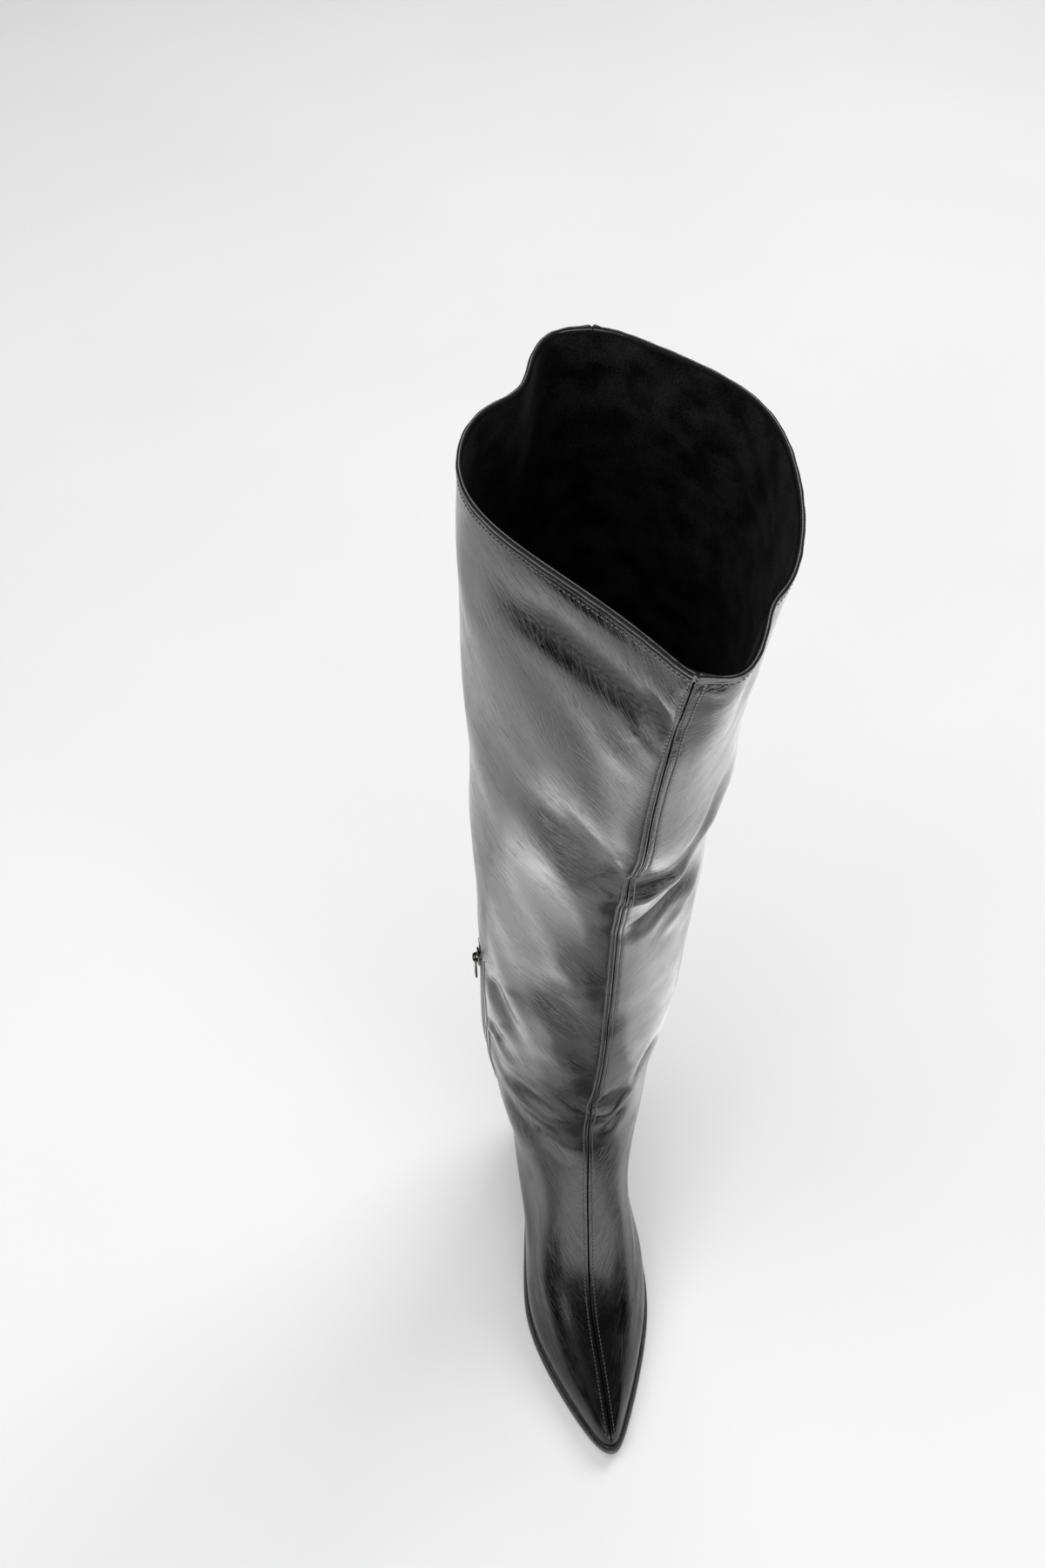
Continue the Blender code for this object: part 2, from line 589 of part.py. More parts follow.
def make_outsole(material):
    """The outsole: a shaped plate with a rounded edge and a groove where the upper sits."""
    layers = [  # how far in from the outline (mm), height as a share of the thickness
        (1.6, 0.0), (0.5, 0.10), (0.0, 0.45), (0.3, 0.80), (1.1, 1.0),
    ]
    flat = outline_points(0.0)
    rings = []
    for inset, share in layers:
        moved = toward_spine(flat, inset * MM)
        rings.append(np.column_stack([moved, sole_under(moved[:, 1]) + share * SOLE_THICK]))
    vertices = np.concatenate(rings)
    count = len(flat)
    faces = loops_to_faces(len(rings), count)
    bottom = [face[::-1] for face in cross_strips(0, count)]
    top = cross_strips((len(rings) - 1) * count, count)
    return add_solid("outsole", vertices, faces + bottom + top, material)


def make_insole(material):
    """The insole: a thin board on the lasting margin, inside the wall."""
    flat = outline_points(1.0)
    toe = smooth(flat[:, 1], INSOLE_TOE_FROM, TOE_Y)
    inset = WALL + INSOLE_PLAY + INSOLE_TOE_GAP * toe
    flat = toward_spine(flat, inset[:, None])
    low = sole_top(flat[:, 1]) + 2.0 * SEAT_GAP + MARGIN_THICK
    rings = [np.column_stack([flat, low]), np.column_stack([flat, low + INSOLE_THICK])]
    count = len(flat)
    bottom = [face[::-1] for face in cross_strips(0, count)]
    faces = loops_to_faces(2, count) + bottom + cross_strips(count, count)
    return add_solid("insole", np.concatenate(rings), faces, material)


def heel_foot_outline(arc):
    """Plan of the heel at the floor: round at the back, softly squared at the breast."""
    reach_front = abs(math.cos(HEEL_CORNER)) ** HEEL_SQUARENESS
    front, back = HEEL_FOOT["front"], HEEL_FOOT["back"]
    reach = (back - front) / (1.0 + reach_front)
    angle = np.linspace(-HEEL_CORNER, HEEL_CORNER, arc)
    x = -HEEL_FOOT["half"] * np.sign(np.sin(angle)) * np.abs(np.sin(angle)) ** HEEL_SQUARENESS
    y = back - reach + reach * np.sign(np.cos(angle)) * np.abs(np.cos(angle)) ** HEEL_SQUARENESS
    return np.stack([x, y], axis=-1)


def heel_seat_outline(arc):
    """Plan of the heel under the sole: the sole's own outline back of the breast."""
    middle, half = (TOE_Y + HEEL_Y) / 2.0, (HEEL_Y - TOE_Y) / 2.0
    start = math.degrees(math.acos((middle - HEEL_SEAT_FRONT) / half))
    angle = np.linspace(start, 360.0 - start, arc)
    folded = np.where(angle <= 180.0, angle, 360.0 - angle)
    x = np.where(angle <= 180.0, sole_half_width(folded, True), -sole_half_width(folded, False))
    y = middle - half * np.cos(np.radians(angle))
    flat = np.stack([x + centre_x(y), y], axis=-1)
    return toward_spine(flat, HEEL_SEAT_INSET)


def heel_ring(share):
    """Plan of the heel at a share of the way from the floor to the sole."""
    foot, seat = heel_foot_outline(HEEL_ARC_POINTS), heel_seat_outline(HEEL_ARC_POINTS)
    ring = foot + (seat - foot) * share ** HEEL_FLARE
    back = smooth(ring[:, 1], 0.0, HEEL_Y)
    ring[:, 1] -= back * HEEL_BACK_CURVE * math.sin(math.pi * share)
    breast = np.linspace(ring[-1], ring[0], BREAST_POINTS + 2)[1:-1]
    return np.concatenate([ring, breast])


def heel_cap(start):
    """Faces across a heel ring, from side to side, the breast's points in the first one."""
    arc = HEEL_ARC_POINTS
    count = arc + BREAST_POINTS
    faces = [(start + 1, start, *(start + k for k in range(count - 1, arc - 2, -1)), start + arc - 2)]
    for i in range(1, arc // 2 - 1):
        faces.append((start + i + 1, start + i, start + arc - 1 - i, start + arc - 2 - i))
    middle = arc // 2
    faces.append((start + middle, start + middle - 1, start + middle + 1))
    return faces


def make_heel_block(material):
    """The covered heel: from the lift up to the sole's underside, with a hollowed breast."""
    rows = []
    for share in np.linspace(0.0, 1.0, HEEL_ROWS):
        plan = heel_ring(share)
        top = sole_under(plan[:, 1]) - GAP
        bottom = LIFT_THICK + GAP
        rows.append(np.column_stack([plan, bottom + (top - bottom) * share]))
    count = len(rows[0])
    faces = loops_to_faces(HEEL_ROWS, count)
    faces += [face[::-1] for face in heel_cap(0)] + heel_cap((HEEL_ROWS - 1) * count)
    return add_solid("heel_block", np.concatenate(rows), faces, material)


def make_top_lift(material):
    """The top lift: the hard-wearing plate that the heel stands on."""
    plan = heel_ring(0.0)
    middle = plan.mean(axis=0)
    layers = [(LIFT_CHAMFER, 0.0), (0.0, LIFT_CHAMFER), (0.0, LIFT_THICK)]
    rows = []
    for inset, height in layers:
        inward = middle - plan
        moved = plan + inward / np.linalg.norm(inward, axis=1)[:, None] * inset
        rows.append(np.column_stack([moved, np.full(len(plan), height)]))
    count = len(plan)
    faces = loops_to_faces(len(layers), count)
    faces += [face[::-1] for face in heel_cap(0)] + heel_cap((len(layers) - 1) * count)
    return add_solid("top_lift", np.concatenate(rows), faces, material)


# Zip -------------------------------------------------------------------------------------
def strip_along_zip(name, ends, rows, half, columns, depths, material):
    """A strip that follows the zip's line, between two depths under the leather's face."""
    stations = np.linspace(zip_station(ends[0]), zip_station(ends[1]), rows)
    centre = zip_angle(stations)
    turn = turn_per_metre(centre, stations)
    across = np.linspace(-half, half, columns)
    angle = centre[:, None] + turn[:, None] * across[None, :]
    station = np.repeat(stations[:, None], columns, axis=1)
    base, normal = base_surface(angle, station), outward(angle, station)
    front, back = base - normal * depths[0], base - normal * depths[1]
    rings = [np.concatenate([front[i], back[i][::-1]]) for i in range(rows)]
    faces = loops_to_faces(rows, 2 * columns)
    for start, turned in ((0, True), ((rows - 1) * 2 * columns, False)):
        for k in range(columns - 1):
            quad = (start + k, start + k + 1, start + 2 * columns - 2 - k, start + 2 * columns - 1 - k)
            faces.append(quad[::-1] if turned else quad)
    return add_solid(name, np.concatenate(rings), faces, material)


def slider_frame():
    """The zip slider's place and its axes: across, up along the zip, and out of the boot."""
    station = np.array([zip_station(SLIDER_Z)])
    angle = zip_angle(station)
    place = base_surface(angle, station)[0]
    out = Vector(outward(angle, station)[0]).normalized()
    higher = np.array([zip_station(SLIDER_Z + 0.01)])
    up = Vector(base_surface(zip_angle(higher), higher)[0] - place)
    up = (up - out * up.dot(out)).normalized()
    across = up.cross(out).normalized()
    return Vector(place), across, up, out


def frame_matrix(place, across, up, out):
    """Matrix that carries local x, y, z to across, up and out at a place."""
    matrix = Matrix((across, up, out)).transposed().to_4x4()
    matrix.translation = place
    return matrix


def extruded(name, outline, low, high, matrix, material, hole=None):
    """A flat plate of an outline, and perhaps one hole, between two local heights."""
    work = bmesh.new()
    loops = [outline] + ([hole] if hole else [])
    edges = []
    for loop in loops:
        corners = [work.verts.new((x, y, low)) for x, y in loop]
        following = corners[1:] + corners[:1]
        edges += [work.edges.new(pair) for pair in zip(corners, following)]
    flat = bmesh.ops.triangle_fill(work, use_beauty=True, edges=edges)["geom"]
    faces = [item for item in flat if isinstance(item, bmesh.types.BMFace)]
    raised = bmesh.ops.extrude_face_region(work, geom=faces)["geom"]
    moved = [item for item in raised if isinstance(item, bmesh.types.BMVert)]
    bmesh.ops.translate(work, vec=(0.0, 0.0, high - low), verts=moved)
    bmesh.ops.recalc_face_normals(work, faces=work.faces)
    mesh = bpy.data.meshes.new(name)
    work.to_mesh(mesh)
    work.free()
    mesh.materials.append(material)
    solid = bpy.data.objects.new(name, mesh)
    solid.matrix_world = matrix
    bpy.context.scene.collection.objects.link(solid)
    return solid


def join_by_union(solid, helpers):
    """Fuse hidden helper shapes to a solid with Boolean modifiers."""
    for helper in helpers:
        helper.hide_render = True
        helper.display_type = "WIRE"
        union = solid.modifiers.new("join_" + helper.name, "BOOLEAN")
        union.operation = "UNION"
        union.object = helper


def rounded_box(half_x, low_y, high_y, low_corner, high_corner):
    """Outline of a plate with cut corners, of one size below and another above."""
    right = [(half_x - low_corner, low_y), (half_x, low_y + low_corner),
             (half_x, high_y - high_corner), (half_x - high_corner, high_y)]
    return right + [(-x, y) for x, y in reversed(right)]


def arch_outline(reach, foot, crown, corner):
    """One side of an arch with cut corners, from its left foot to its right foot."""
    right = [(reach - corner, crown), (reach, crown - corner), (reach, foot)]
    return [(-x, y) for x, y in reversed(right)] + right


def make_zip_slider(material):
    """The slider: a face plate over the closed teeth, its neck in the slot, and its bridge."""
    place, across, up, out = slider_frame()
    matrix = frame_matrix(place, across, up, out)
    half, low, high, corner = SLIDER_HALF, -SLIDER_LONG / 2.0, SLIDER_LONG / 2.0, SLIDER_CORNER
    waist = half * SLIDER_WAIST
    outline = [(-waist + corner, low), (waist - corner, low), (waist, low + corner),
               (half, high - 3.0 * corner), (half - corner, high - corner),
               (half - 2.5 * corner, high), (-half + 2.5 * corner, high),
               (-half + corner, high - corner), (-half, high - 3.0 * corner), (-waist, low + corner)]
    plate = extruded("zip_slider", outline, SLIDER_LIFT, SLIDER_FACE, matrix, material)
    inside_plate = SLIDER_FACE - SLIDER_SUNK
    neck_outline = rounded_box(NECK_HALF, NECK_LOW, NECK_HIGH, SLIDER_SUNK, SLIDER_SUNK)
    neck = extruded("slider_neck", neck_outline, -NECK_DEEP, inside_plate, matrix, material)
    # the bridge is an arch drawn from the side and given its width across the slider
    turn = Matrix.Rotation(math.radians(90.0), 4, "Z") @ Matrix.Rotation(math.radians(90.0), 4, "X")
    arch = arch_outline(BRIDGE_REACH, inside_plate, BRIDGE_TOP, BRIDGE_CORNER)
    reach_under, crown_under = BRIDGE_REACH - BRIDGE_BAR, BRIDGE_TOP - BRIDGE_BAR
    arch += arch_outline(reach_under, inside_plate, crown_under, BRIDGE_CORNER / 2.0)[::-1]
    bridge = extruded("slider_bridge", arch, -BRIDGE_HALF, BRIDGE_HALF, matrix @ turn, material)
    join_by_union(plate, [neck, bridge])
    return plate


def make_zip_pull(material):
    """The pull tab: a bar through the slider's bridge, two legs past it and a plain tab."""
    place, across, up, out = slider_frame()
    pivot = place + out * PULL_AXIS_OUT
    level_out = Vector((out.x, out.y, 0.0)).normalized()
    level_across = Vector((0.0, 0.0, 1.0)).cross(level_out).normalized()
    matrix = frame_matrix(pivot, level_across, Vector((0.0, 0.0, 1.0)), level_out)
    thick = PULL_THICK / 2.0
    outline = rounded_box(PULL_HALF, -PULL_LONG, PULL_BAR_TOP, PULL_CORNER, PULL_SMALL_CORNER)
    eye = rounded_box(PULL_EYE_HALF, -PULL_EYE, -PULL_BAR_UNDER, PULL_SMALL_CORNER, PULL_SMALL_CORNER)
    return extruded("zip_pull", outline, -thick, thick, matrix, material, hole=eye)


def build():
    """Make every piece."""
    clear_scene()
    leather = finish_material("black_smooth_leather", "0B0B0C", 0.25)
    sole_finish = finish_material("black_sole_leather", "101010", 0.45)
    heel_finish = finish_material("black_covered_heel", "0B0B0C", 0.25)
    rubber = finish_material("black_lift_rubber", "141414", 0.7)
    board = finish_material("insole_board", "17161A", 0.8)
    tape = finish_material("black_zip_tape", "121213", 0.85)
    teeth = finish_material("black_coil_teeth", "161617", 0.4)
    metal = finish_material("dark_nickel", "4A4846", 0.25, 1.0)
    make_upper(leather)
    make_outsole(sole_finish)
    make_insole(board)
    make_heel_block(heel_finish)
    make_top_lift(rubber)
    tape_depths = WALL + TAPE_GAP, WALL + TAPE_GAP + TAPE_THICK
    strip_along_zip("zip_tape", (TAPE_LOW_Z, TAPE_HIGH_Z), TAPE_ROWS, TAPE_HALF, 5, tape_depths, tape)
    strip_along_zip("zip_teeth", (TEETH_LOW_Z, TEETH_HIGH_Z), TEETH_ROWS, TEETH_HALF, 3,
                    (TEETH_SINK, WALL), teeth)
    make_zip_slider(metal)
    make_zip_pull(metal)


build()
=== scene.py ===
"""Over-the-knee boot for the left foot, dressed: glossy leather panels with their creases,
stitched seams, a folded collar, suede lining, the bead-edged sole, the covered heel and the zip.

Every surface is worked out with numpy on a grid of two parameters.  Lengths are in metres
unless a name says mm; the toe points to -Y, +Z is up and +X is the outer side of the foot.
"""
from __future__ import annotations

import logging
import math
from dataclasses import dataclass, field
from enum import Enum

import bpy
import numpy as np
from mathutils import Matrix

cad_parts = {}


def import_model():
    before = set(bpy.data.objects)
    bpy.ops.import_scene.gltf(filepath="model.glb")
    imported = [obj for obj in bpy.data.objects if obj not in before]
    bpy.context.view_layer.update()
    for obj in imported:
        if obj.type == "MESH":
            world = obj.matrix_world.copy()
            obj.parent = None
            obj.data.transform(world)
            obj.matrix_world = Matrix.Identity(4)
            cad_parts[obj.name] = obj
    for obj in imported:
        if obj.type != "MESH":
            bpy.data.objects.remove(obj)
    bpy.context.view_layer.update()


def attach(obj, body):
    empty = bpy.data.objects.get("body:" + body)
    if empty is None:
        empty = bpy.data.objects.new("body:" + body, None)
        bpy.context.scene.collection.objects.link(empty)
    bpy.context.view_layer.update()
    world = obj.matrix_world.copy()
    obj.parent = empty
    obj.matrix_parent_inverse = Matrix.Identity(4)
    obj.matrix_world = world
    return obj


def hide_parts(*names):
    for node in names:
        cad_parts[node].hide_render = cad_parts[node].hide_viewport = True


LOG = logging.getLogger("boot")
MM = 0.001
Array = np.ndarray
Piece = bpy.types.Object
Material = bpy.types.Material
Socket = bpy.types.NodeSocket


class Part(Enum):
    """The boot's own nodes that the dressed pieces stand in for."""

    UPPER = "upper"
    OUTSOLE = "outsole"
    INSOLE = "insole"
    HEEL = "heel_block"
    LIFT = "top_lift"
    TAPE = "zip_tape"
    TEETH = "zip_teeth"
    SLIDER = "zip_slider"
    PULL = "zip_pull"


class Side(Enum):
    """The two leather panels of the shaft."""

    OUTER = "outer"
    INNER = "inner"


# Curves ----------------------------------------------------------------------------------
def spline(knots: Array, values: Array, at: Array) -> Array:
    """Natural cubic spline: the curve of least bending through the knots.

    Args:
        knots: places of the known values, rising.
        values: the values there, or one column of them for each place in `at`.
        at: places to read the curve at.

    Returns:
        The curve's values at `at`.
    """
    knots, values = np.asarray(knots, float), np.asarray(values, float)
    count, step = len(knots), np.diff(knots)
    matrix, right = np.eye(count), np.zeros_like(values)
    for i in range(1, count - 1):
        matrix[i, i - 1:i + 2] = step[i - 1], 2.0 * (step[i - 1] + step[i]), step[i]
        right[i] = 6.0 * ((values[i + 1] - values[i]) / step[i]
                          - (values[i] - values[i - 1]) / step[i - 1])
    rates = np.linalg.solve(matrix, right)
    i = np.clip(np.searchsorted(knots, at) - 1, 0, count - 2)
    column = np.arange(len(at))
    low, high = (i, i + 1) if values.ndim == 1 else ((i, column), (i + 1, column))
    step, before, after = knots[i + 1] - knots[i], at - knots[i], knots[i + 1] - at
    return ((rates[low] * after ** 3 + rates[high] * before ** 3) / (6.0 * step)
            + (values[low] / step - rates[low] * step / 6.0) * after
            + (values[high] / step - rates[high] * step / 6.0) * before)


def steady(knots: Array, values: Array, at: Array) -> Array:
    """Cubic through the points that never overshoots between them, straight past its end.

    Args:
        knots: places of the known values, rising.
        values: the values there.
        at: places to read the curve at.

    Returns:
        The curve's values at `at`.
    """
    knots, values = np.asarray(knots, float), np.asarray(values, float)
    step = np.diff(knots)
    slope = np.diff(values) / step
    tangent = np.zeros_like(values)
    rising = slope[:-1] * slope[1:] > 0
    safe = np.where(rising, slope[:-1] * slope[1:], 1.0)
    mean = (slope[:-1] + slope[1:]) / 2.0
    tangent[1:-1] = np.where(rising, safe / np.where(rising, mean, 1.0), 0.0)
    tangent[0], tangent[-1] = slope[0], slope[-1]
    inside = np.clip(at, knots[0], knots[-1])
    i = np.clip(np.searchsorted(knots, inside) - 1, 0, len(step) - 1)
    t = (inside - knots[i]) / step[i]
    result = ((1 + 2 * t) * (1 - t) ** 2 * values[i] + t * (1 - t) ** 2 * step[i] * tangent[i]
              + t * t * (3 - 2 * t) * values[i + 1] + t * t * (t - 1) * step[i] * tangent[i + 1])
    return result + np.where(at > knots[-1], (at - knots[-1]) * slope[-1], 0.0)


def smooth(value: Array, start: float, end: float) -> Array:
    """Soft step 3t^2 - 2t^3 from 0 at `start` to 1 at `end`, whichever way they run."""
    t = np.clip((value - start) / (end - start), 0.0, 1.0)
    return t * t * (3.0 - 2.0 * t)


def unit(vectors: Array) -> Array:
    """Vectors divided by their own lengths."""
    return vectors / np.maximum(np.linalg.norm(vectors, axis=-1, keepdims=True), 1e-12)


def bell(distance: Array | float, reach: Array | float) -> Array:
    """A bump that is 1 at distance 0 and dies away: exp(-(distance / reach)^2)."""
    return np.exp(-(distance / reach) ** 2)


def raised(value: Array, power: float) -> Array:
    """A value raised to a power with its sign kept: sign(v) |v|^power."""
    return np.sign(value) * np.abs(value) ** power


def turns(count: int) -> Array:
    """Even angles of one whole turn, in radians."""
    return np.linspace(0.0, 2.0 * np.pi, count, endpoint=False)


def walked(path: Array) -> Array:
    """Length walked along a path to each of its points."""
    return np.concatenate([[0.0], np.cumsum(np.linalg.norm(np.diff(path, axis=0), axis=1))])


def spread(place: Array, axes: Array, x: Array | float, y: Array | float,
           z: Array | float) -> Array:
    """Points along three axes from a place: P = place + x axis0 + y axis1 + z axis2."""
    return place + np.stack(np.broadcast_arrays(x, y, z), axis=-1) @ axes


def linear(hex_colour: str) -> tuple[float, float, float, float]:
    """A six-digit sRGB colour as linear red, green, blue and full alpha."""
    parts = [int(hex_colour[i:i + 2], 16) / 255.0 for i in (0, 2, 4)]
    return (*[p / 12.92 if p <= 0.04045 else ((p + 0.055) / 1.055) ** 2.4 for p in parts], 1.0)


# Meshes ----------------------------------------------------------------------------------
def grid_quads(rows: int, columns: int, closed: bool = False) -> Array:
    """Quads of a grid of points, row by row, whose columns may close on themselves.

    Args:
        rows: how many rows of points there are.
        columns: how many points each row has.
        closed: whether the last column joins the first.

    Returns:
        Four point numbers for each quad, wound (row, row, row + 1, row + 1).
    """
    i = np.arange(rows - 1)[:, None]
    j = np.arange(columns if closed else columns - 1)[None, :]
    k = (j + 1) % columns
    quads = [i * columns + j, i * columns + k, (i + 1) * columns + k, (i + 1) * columns + j]
    return np.stack(np.broadcast_arrays(*quads), axis=-1).reshape(-1, 4)


def fan(loop: Array, pole: int) -> Array:
    """Triangles from each side of a loop to its pole."""
    return np.stack([loop, np.roll(loop, -1), np.full(len(loop), pole)], axis=-1)


def add_mesh(name: str, points: Array, faces: list[Array], material: Material,
             uv: Array | None = None, crease: Array | None = None) -> Piece:
    """A smooth-shaded object at the origin from point and face arrays.

    Args:
        name: the piece's name.
        points: all points, in metres.
        faces: arrays of faces, each of triangles or of quads.
        material: its finish.
        uv: for each point, its place on the leather in metres.
        crease: for each point, 0 on flat leather and 1 in a crease.

    Returns:
        The new object.
    """
    mesh = bpy.data.meshes.new(name)
    sizes = np.concatenate([np.full(len(f), f.shape[1]) for f in faces])
    corners = np.concatenate([f.ravel() for f in faces])
    mesh.vertices.add(len(points))
    mesh.vertices.foreach_set("co", np.ascontiguousarray(points, np.float32).ravel())
    mesh.loops.add(len(corners))
    mesh.loops.foreach_set("vertex_index", corners.astype(np.int32))
    mesh.polygons.add(len(sizes))
    starts = np.concatenate([[0], np.cumsum(sizes)[:-1]])
    mesh.polygons.foreach_set("loop_start", starts.astype(np.int32))
    mesh.polygons.foreach_set("use_smooth", np.ones(len(sizes), bool))
    mesh.update(calc_edges=True)
    mesh.validate()
    if uv is not None:
        layer = mesh.uv_layers.new(name="leather_plan")
        layer.data.foreach_set("uv", np.ascontiguousarray(uv[corners], np.float32).ravel())
    if crease is not None:
        values = mesh.attributes.new("crease", "FLOAT", "POINT")
        values.data.foreach_set("value", np.ascontiguousarray(crease, np.float32))
    mesh.materials.append(material)
    piece = bpy.data.objects.new(name, mesh)
    bpy.context.scene.collection.objects.link(piece)
    return piece


def lofted(rings: Array, poles: bool = True) -> tuple[Array, list[Array]]:
    """A closed surface over rings of points, row by row, with a pole in each end.

    Args:
        rings: points as (rows, columns, 3); columns run anticlockwise seen from the last row.
        poles: whether the first and last rings are closed over.

    Returns:
        The points and the face arrays, faces out.
    """
    rows, columns = rings.shape[:2]
    points = [rings.reshape(-1, 3)]
    faces = [grid_quads(rows, columns, closed=True)]
    if poles:
        points += [rings[:1].mean(axis=1), rings[-1:].mean(axis=1)]
        first, last = np.arange(columns), np.arange(columns) + (rows - 1) * columns
        faces += [fan(first, rows * columns)[:, ::-1], fan(last, rows * columns + 1)]
    return np.concatenate(points), faces


def joined(shapes: list[tuple[Array, list[Array]]]) -> tuple[Array, list[Array]]:
    """Several closed surfaces as one list of points and faces."""
    points, faces, start = [], [], 0
    for shape_points, shape_faces in shapes:
        points.append(shape_points)
        faces += [f + start for f in shape_faces]
        start += len(shape_points)
    return np.concatenate(points), faces


def tube(path: Array, radius: float, sides: int, closed: bool = False,
         up: tuple | Array = (0.0, 0.0, 1.0)) -> tuple[Array, list[Array]]:
    """A round tube: P(s, a) = path(s) + r (cos a . side + sin a . lift).

    Args:
        path: points of the middle line, (n, 3).
        radius: radius of the tube.
        sides: how many sides the tube has.
        closed: whether the path ends where it starts.
        up: direction that the section's height follows.

    Returns:
        Points and face arrays.
    """
    ahead = np.roll(path, -1, axis=0) - np.roll(path, 1, axis=0)
    if not closed:
        ahead[0], ahead[-1] = path[1] - path[0], path[-1] - path[-2]
    ahead = unit(ahead)
    side = unit(np.cross(ahead, up))
    lift = np.cross(side, ahead)
    turn = turns(sides)[:, None]
    rings = path[:, None] + radius * (np.cos(turn) * side[:, None] + np.sin(turn) * lift[:, None])
    if closed:
        quads = grid_quads(len(path) + 1, sides, closed=True) % (len(path) * sides)
        return rings.reshape(-1, 3), [quads[:, ::-1]]
    points, faces = lofted(rings)
    return points, [f[:, ::-1] for f in faces]


# The boot's form ---------------------------------------------------------------------------
@dataclass
class BootForm:
    """The outside of the boot as a surface of two parameters, as its maker's last gives it.

    A ring runs round the boot from the front seam (0 degrees) over the outer side (90), the
    back seam (180) and the inner side (270); station 0 is the feather edge and 1 the collar.
    """

    toe_y: float = -0.2220
    heel_y: float = 0.0262
    sole_thick: float = 0.0040
    toe_x: float = -0.0022
    toe_swing: tuple[float, float] = (-0.130, -0.020)
    edge_fore: float = 0.0034
    edge_heel: float = 0.0012
    edge_turn: tuple[float, float] = (78.0, 112.0)
    spine: tuple[float, float] = (-0.190, -0.004)
    # along the foot: y, height of the sole's underside (mm)
    sole_line: tuple = (
        (-222.0, 7.5), (-210.0, 4.2), (-195.0, 1.4), (-178.0, 0.0), (-150.0, 0.0), (-128.0, 0.0),
        (-115.0, 2.2), (-100.0, 9.0), (-80.0, 25.5), (-60.0, 46.0), (-40.0, 65.0), (-20.0, 78.0),
        (0.0, 85.0), (28.0, 89.0))
    # angle from the toe, outer and inner half-width over the sine of the angle (mm)
    sole_outline: tuple = (
        (0.0, 24.0, 25.0), (20.0, 24.0, 26.0), (40.0, 29.0, 29.8), (60.0, 36.7, 36.2),
        (75.0, 41.0, 38.2), (90.0, 39.5, 34.5), (100.0, 34.7, 31.6), (110.0, 31.8, 29.8),
        (135.0, 37.5, 37.5), (160.0, 55.0, 54.0), (180.0, 58.0, 58.0))
    # front_y, front_z, back_y, back_z, seam_x (mm), share of the last in the ring
    rings: tuple = (
        (-218.6, 12.3, 25.0, 92.9, -2.2, 1.00), (-215.4, 18.6, 26.2, 101.0, -2.2, 1.00),
        (-199.0, 24.6, 27.2, 109.5, -2.2, 1.00), (-179.0, 30.4, 27.6, 117.5, -2.2, 1.00),
        (-157.0, 37.6, 27.4, 125.5, -2.6, 1.00), (-137.0, 48.4, 26.4, 133.5, -2.0, 1.00),
        (-120.0, 63.2, 24.8, 142.0, -0.2, 0.85), (-107.0, 80.6, 22.5, 152.0, 1.2, 0.55),
        (-96.5, 98.0, 20.0, 164.0, 2.4, 0.25), (-87.0, 117.0, 17.0, 179.0, 3.8, 0.08),
        (-80.0, 142.0, 14.5, 198.0, 4.5, 0.00), (-80.0, 170.0, 13.5, 218.0, 6.2, 0.00),
        (-84.0, 215.0, 15.0, 250.0, 9.0, 0.00), (-86.8, 275.0, 19.0, 295.0, 10.0, 0.00),
        (-92.5, 335.0, 22.5, 345.0, 9.5, 0.00), (-105.0, 395.0, 22.5, 400.0, 8.0, 0.00),
        (-126.0, 445.0, 20.5, 448.0, 8.0, 0.00), (-143.5, 505.0, 18.5, 505.0, 7.0, 0.00),
        (-162.0, 570.0, 17.0, 568.0, 6.5, 0.00), (-177.0, 625.0, 16.0, 625.0, 8.5, 0.00))
    # height, half-width over the sine at 30 to 150 degrees: five outer, then five inner (mm)
    girths: tuple = (
        (60.0, 27.5, 28.5, 28.5, 31.0, 35.0, 31.5, 32.5, 33.5, 34.5, 36.0),
        (85.0, 30.5, 31.5, 32.0, 34.0, 36.5, 32.5, 34.0, 35.0, 36.0, 37.0),
        (110.0, 33.0, 34.5, 35.5, 37.0, 38.0, 34.5, 37.0, 38.5, 39.0, 38.5),
        (130.0, 36.5, 38.5, 39.5, 40.0, 39.5, 38.0, 42.0, 44.5, 44.5, 42.0),
        (160.0, 40.0, 42.5, 44.0, 43.5, 41.5, 41.0, 46.0, 51.0, 51.0, 45.0),
        (210.0, 43.5, 46.0, 47.5, 47.0, 44.0, 44.0, 52.0, 57.5, 56.0, 48.0),
        (280.0, 46.0, 50.0, 51.5, 51.0, 46.0, 46.0, 55.0, 60.5, 58.0, 49.0),
        (340.0, 46.0, 52.0, 54.5, 54.0, 48.0, 46.0, 55.5, 61.0, 59.0, 50.0),
        (400.0, 45.0, 52.5, 56.0, 56.0, 50.0, 42.0, 53.5, 60.5, 60.0, 50.0),
        (450.0, 46.0, 53.0, 57.0, 57.5, 50.0, 38.0, 50.5, 61.0, 61.0, 51.0),
        (505.0, 47.5, 53.0, 57.0, 58.0, 49.0, 33.0, 47.0, 61.5, 62.0, 52.0),
        (570.0, 49.0, 54.0, 58.5, 59.0, 45.0, 26.0, 43.0, 62.0, 63.0, 53.0),
        (625.0, 50.0, 55.5, 59.5, 59.5, 42.0, 20.0, 39.0, 62.5, 64.0, 55.0))
    # waves of the slack collar: angle, reach (degrees), height, reach down, push (mm)
    waves: tuple = (
        (18.0, 14.0, 630.0, 55.0, 7.5), (42.0, 8.0, 625.0, 60.0, -3.0),
        (222.0, 13.0, 630.0, 75.0, -10.0), (199.0, 16.0, 630.0, 60.0, 4.5))
    # the zip's middle line as height, y (mm)
    zip_route: tuple = (
        (100.0, -20.0), (125.0, -26.0), (155.0, -31.0), (200.0, -33.0), (290.0, -32.0))
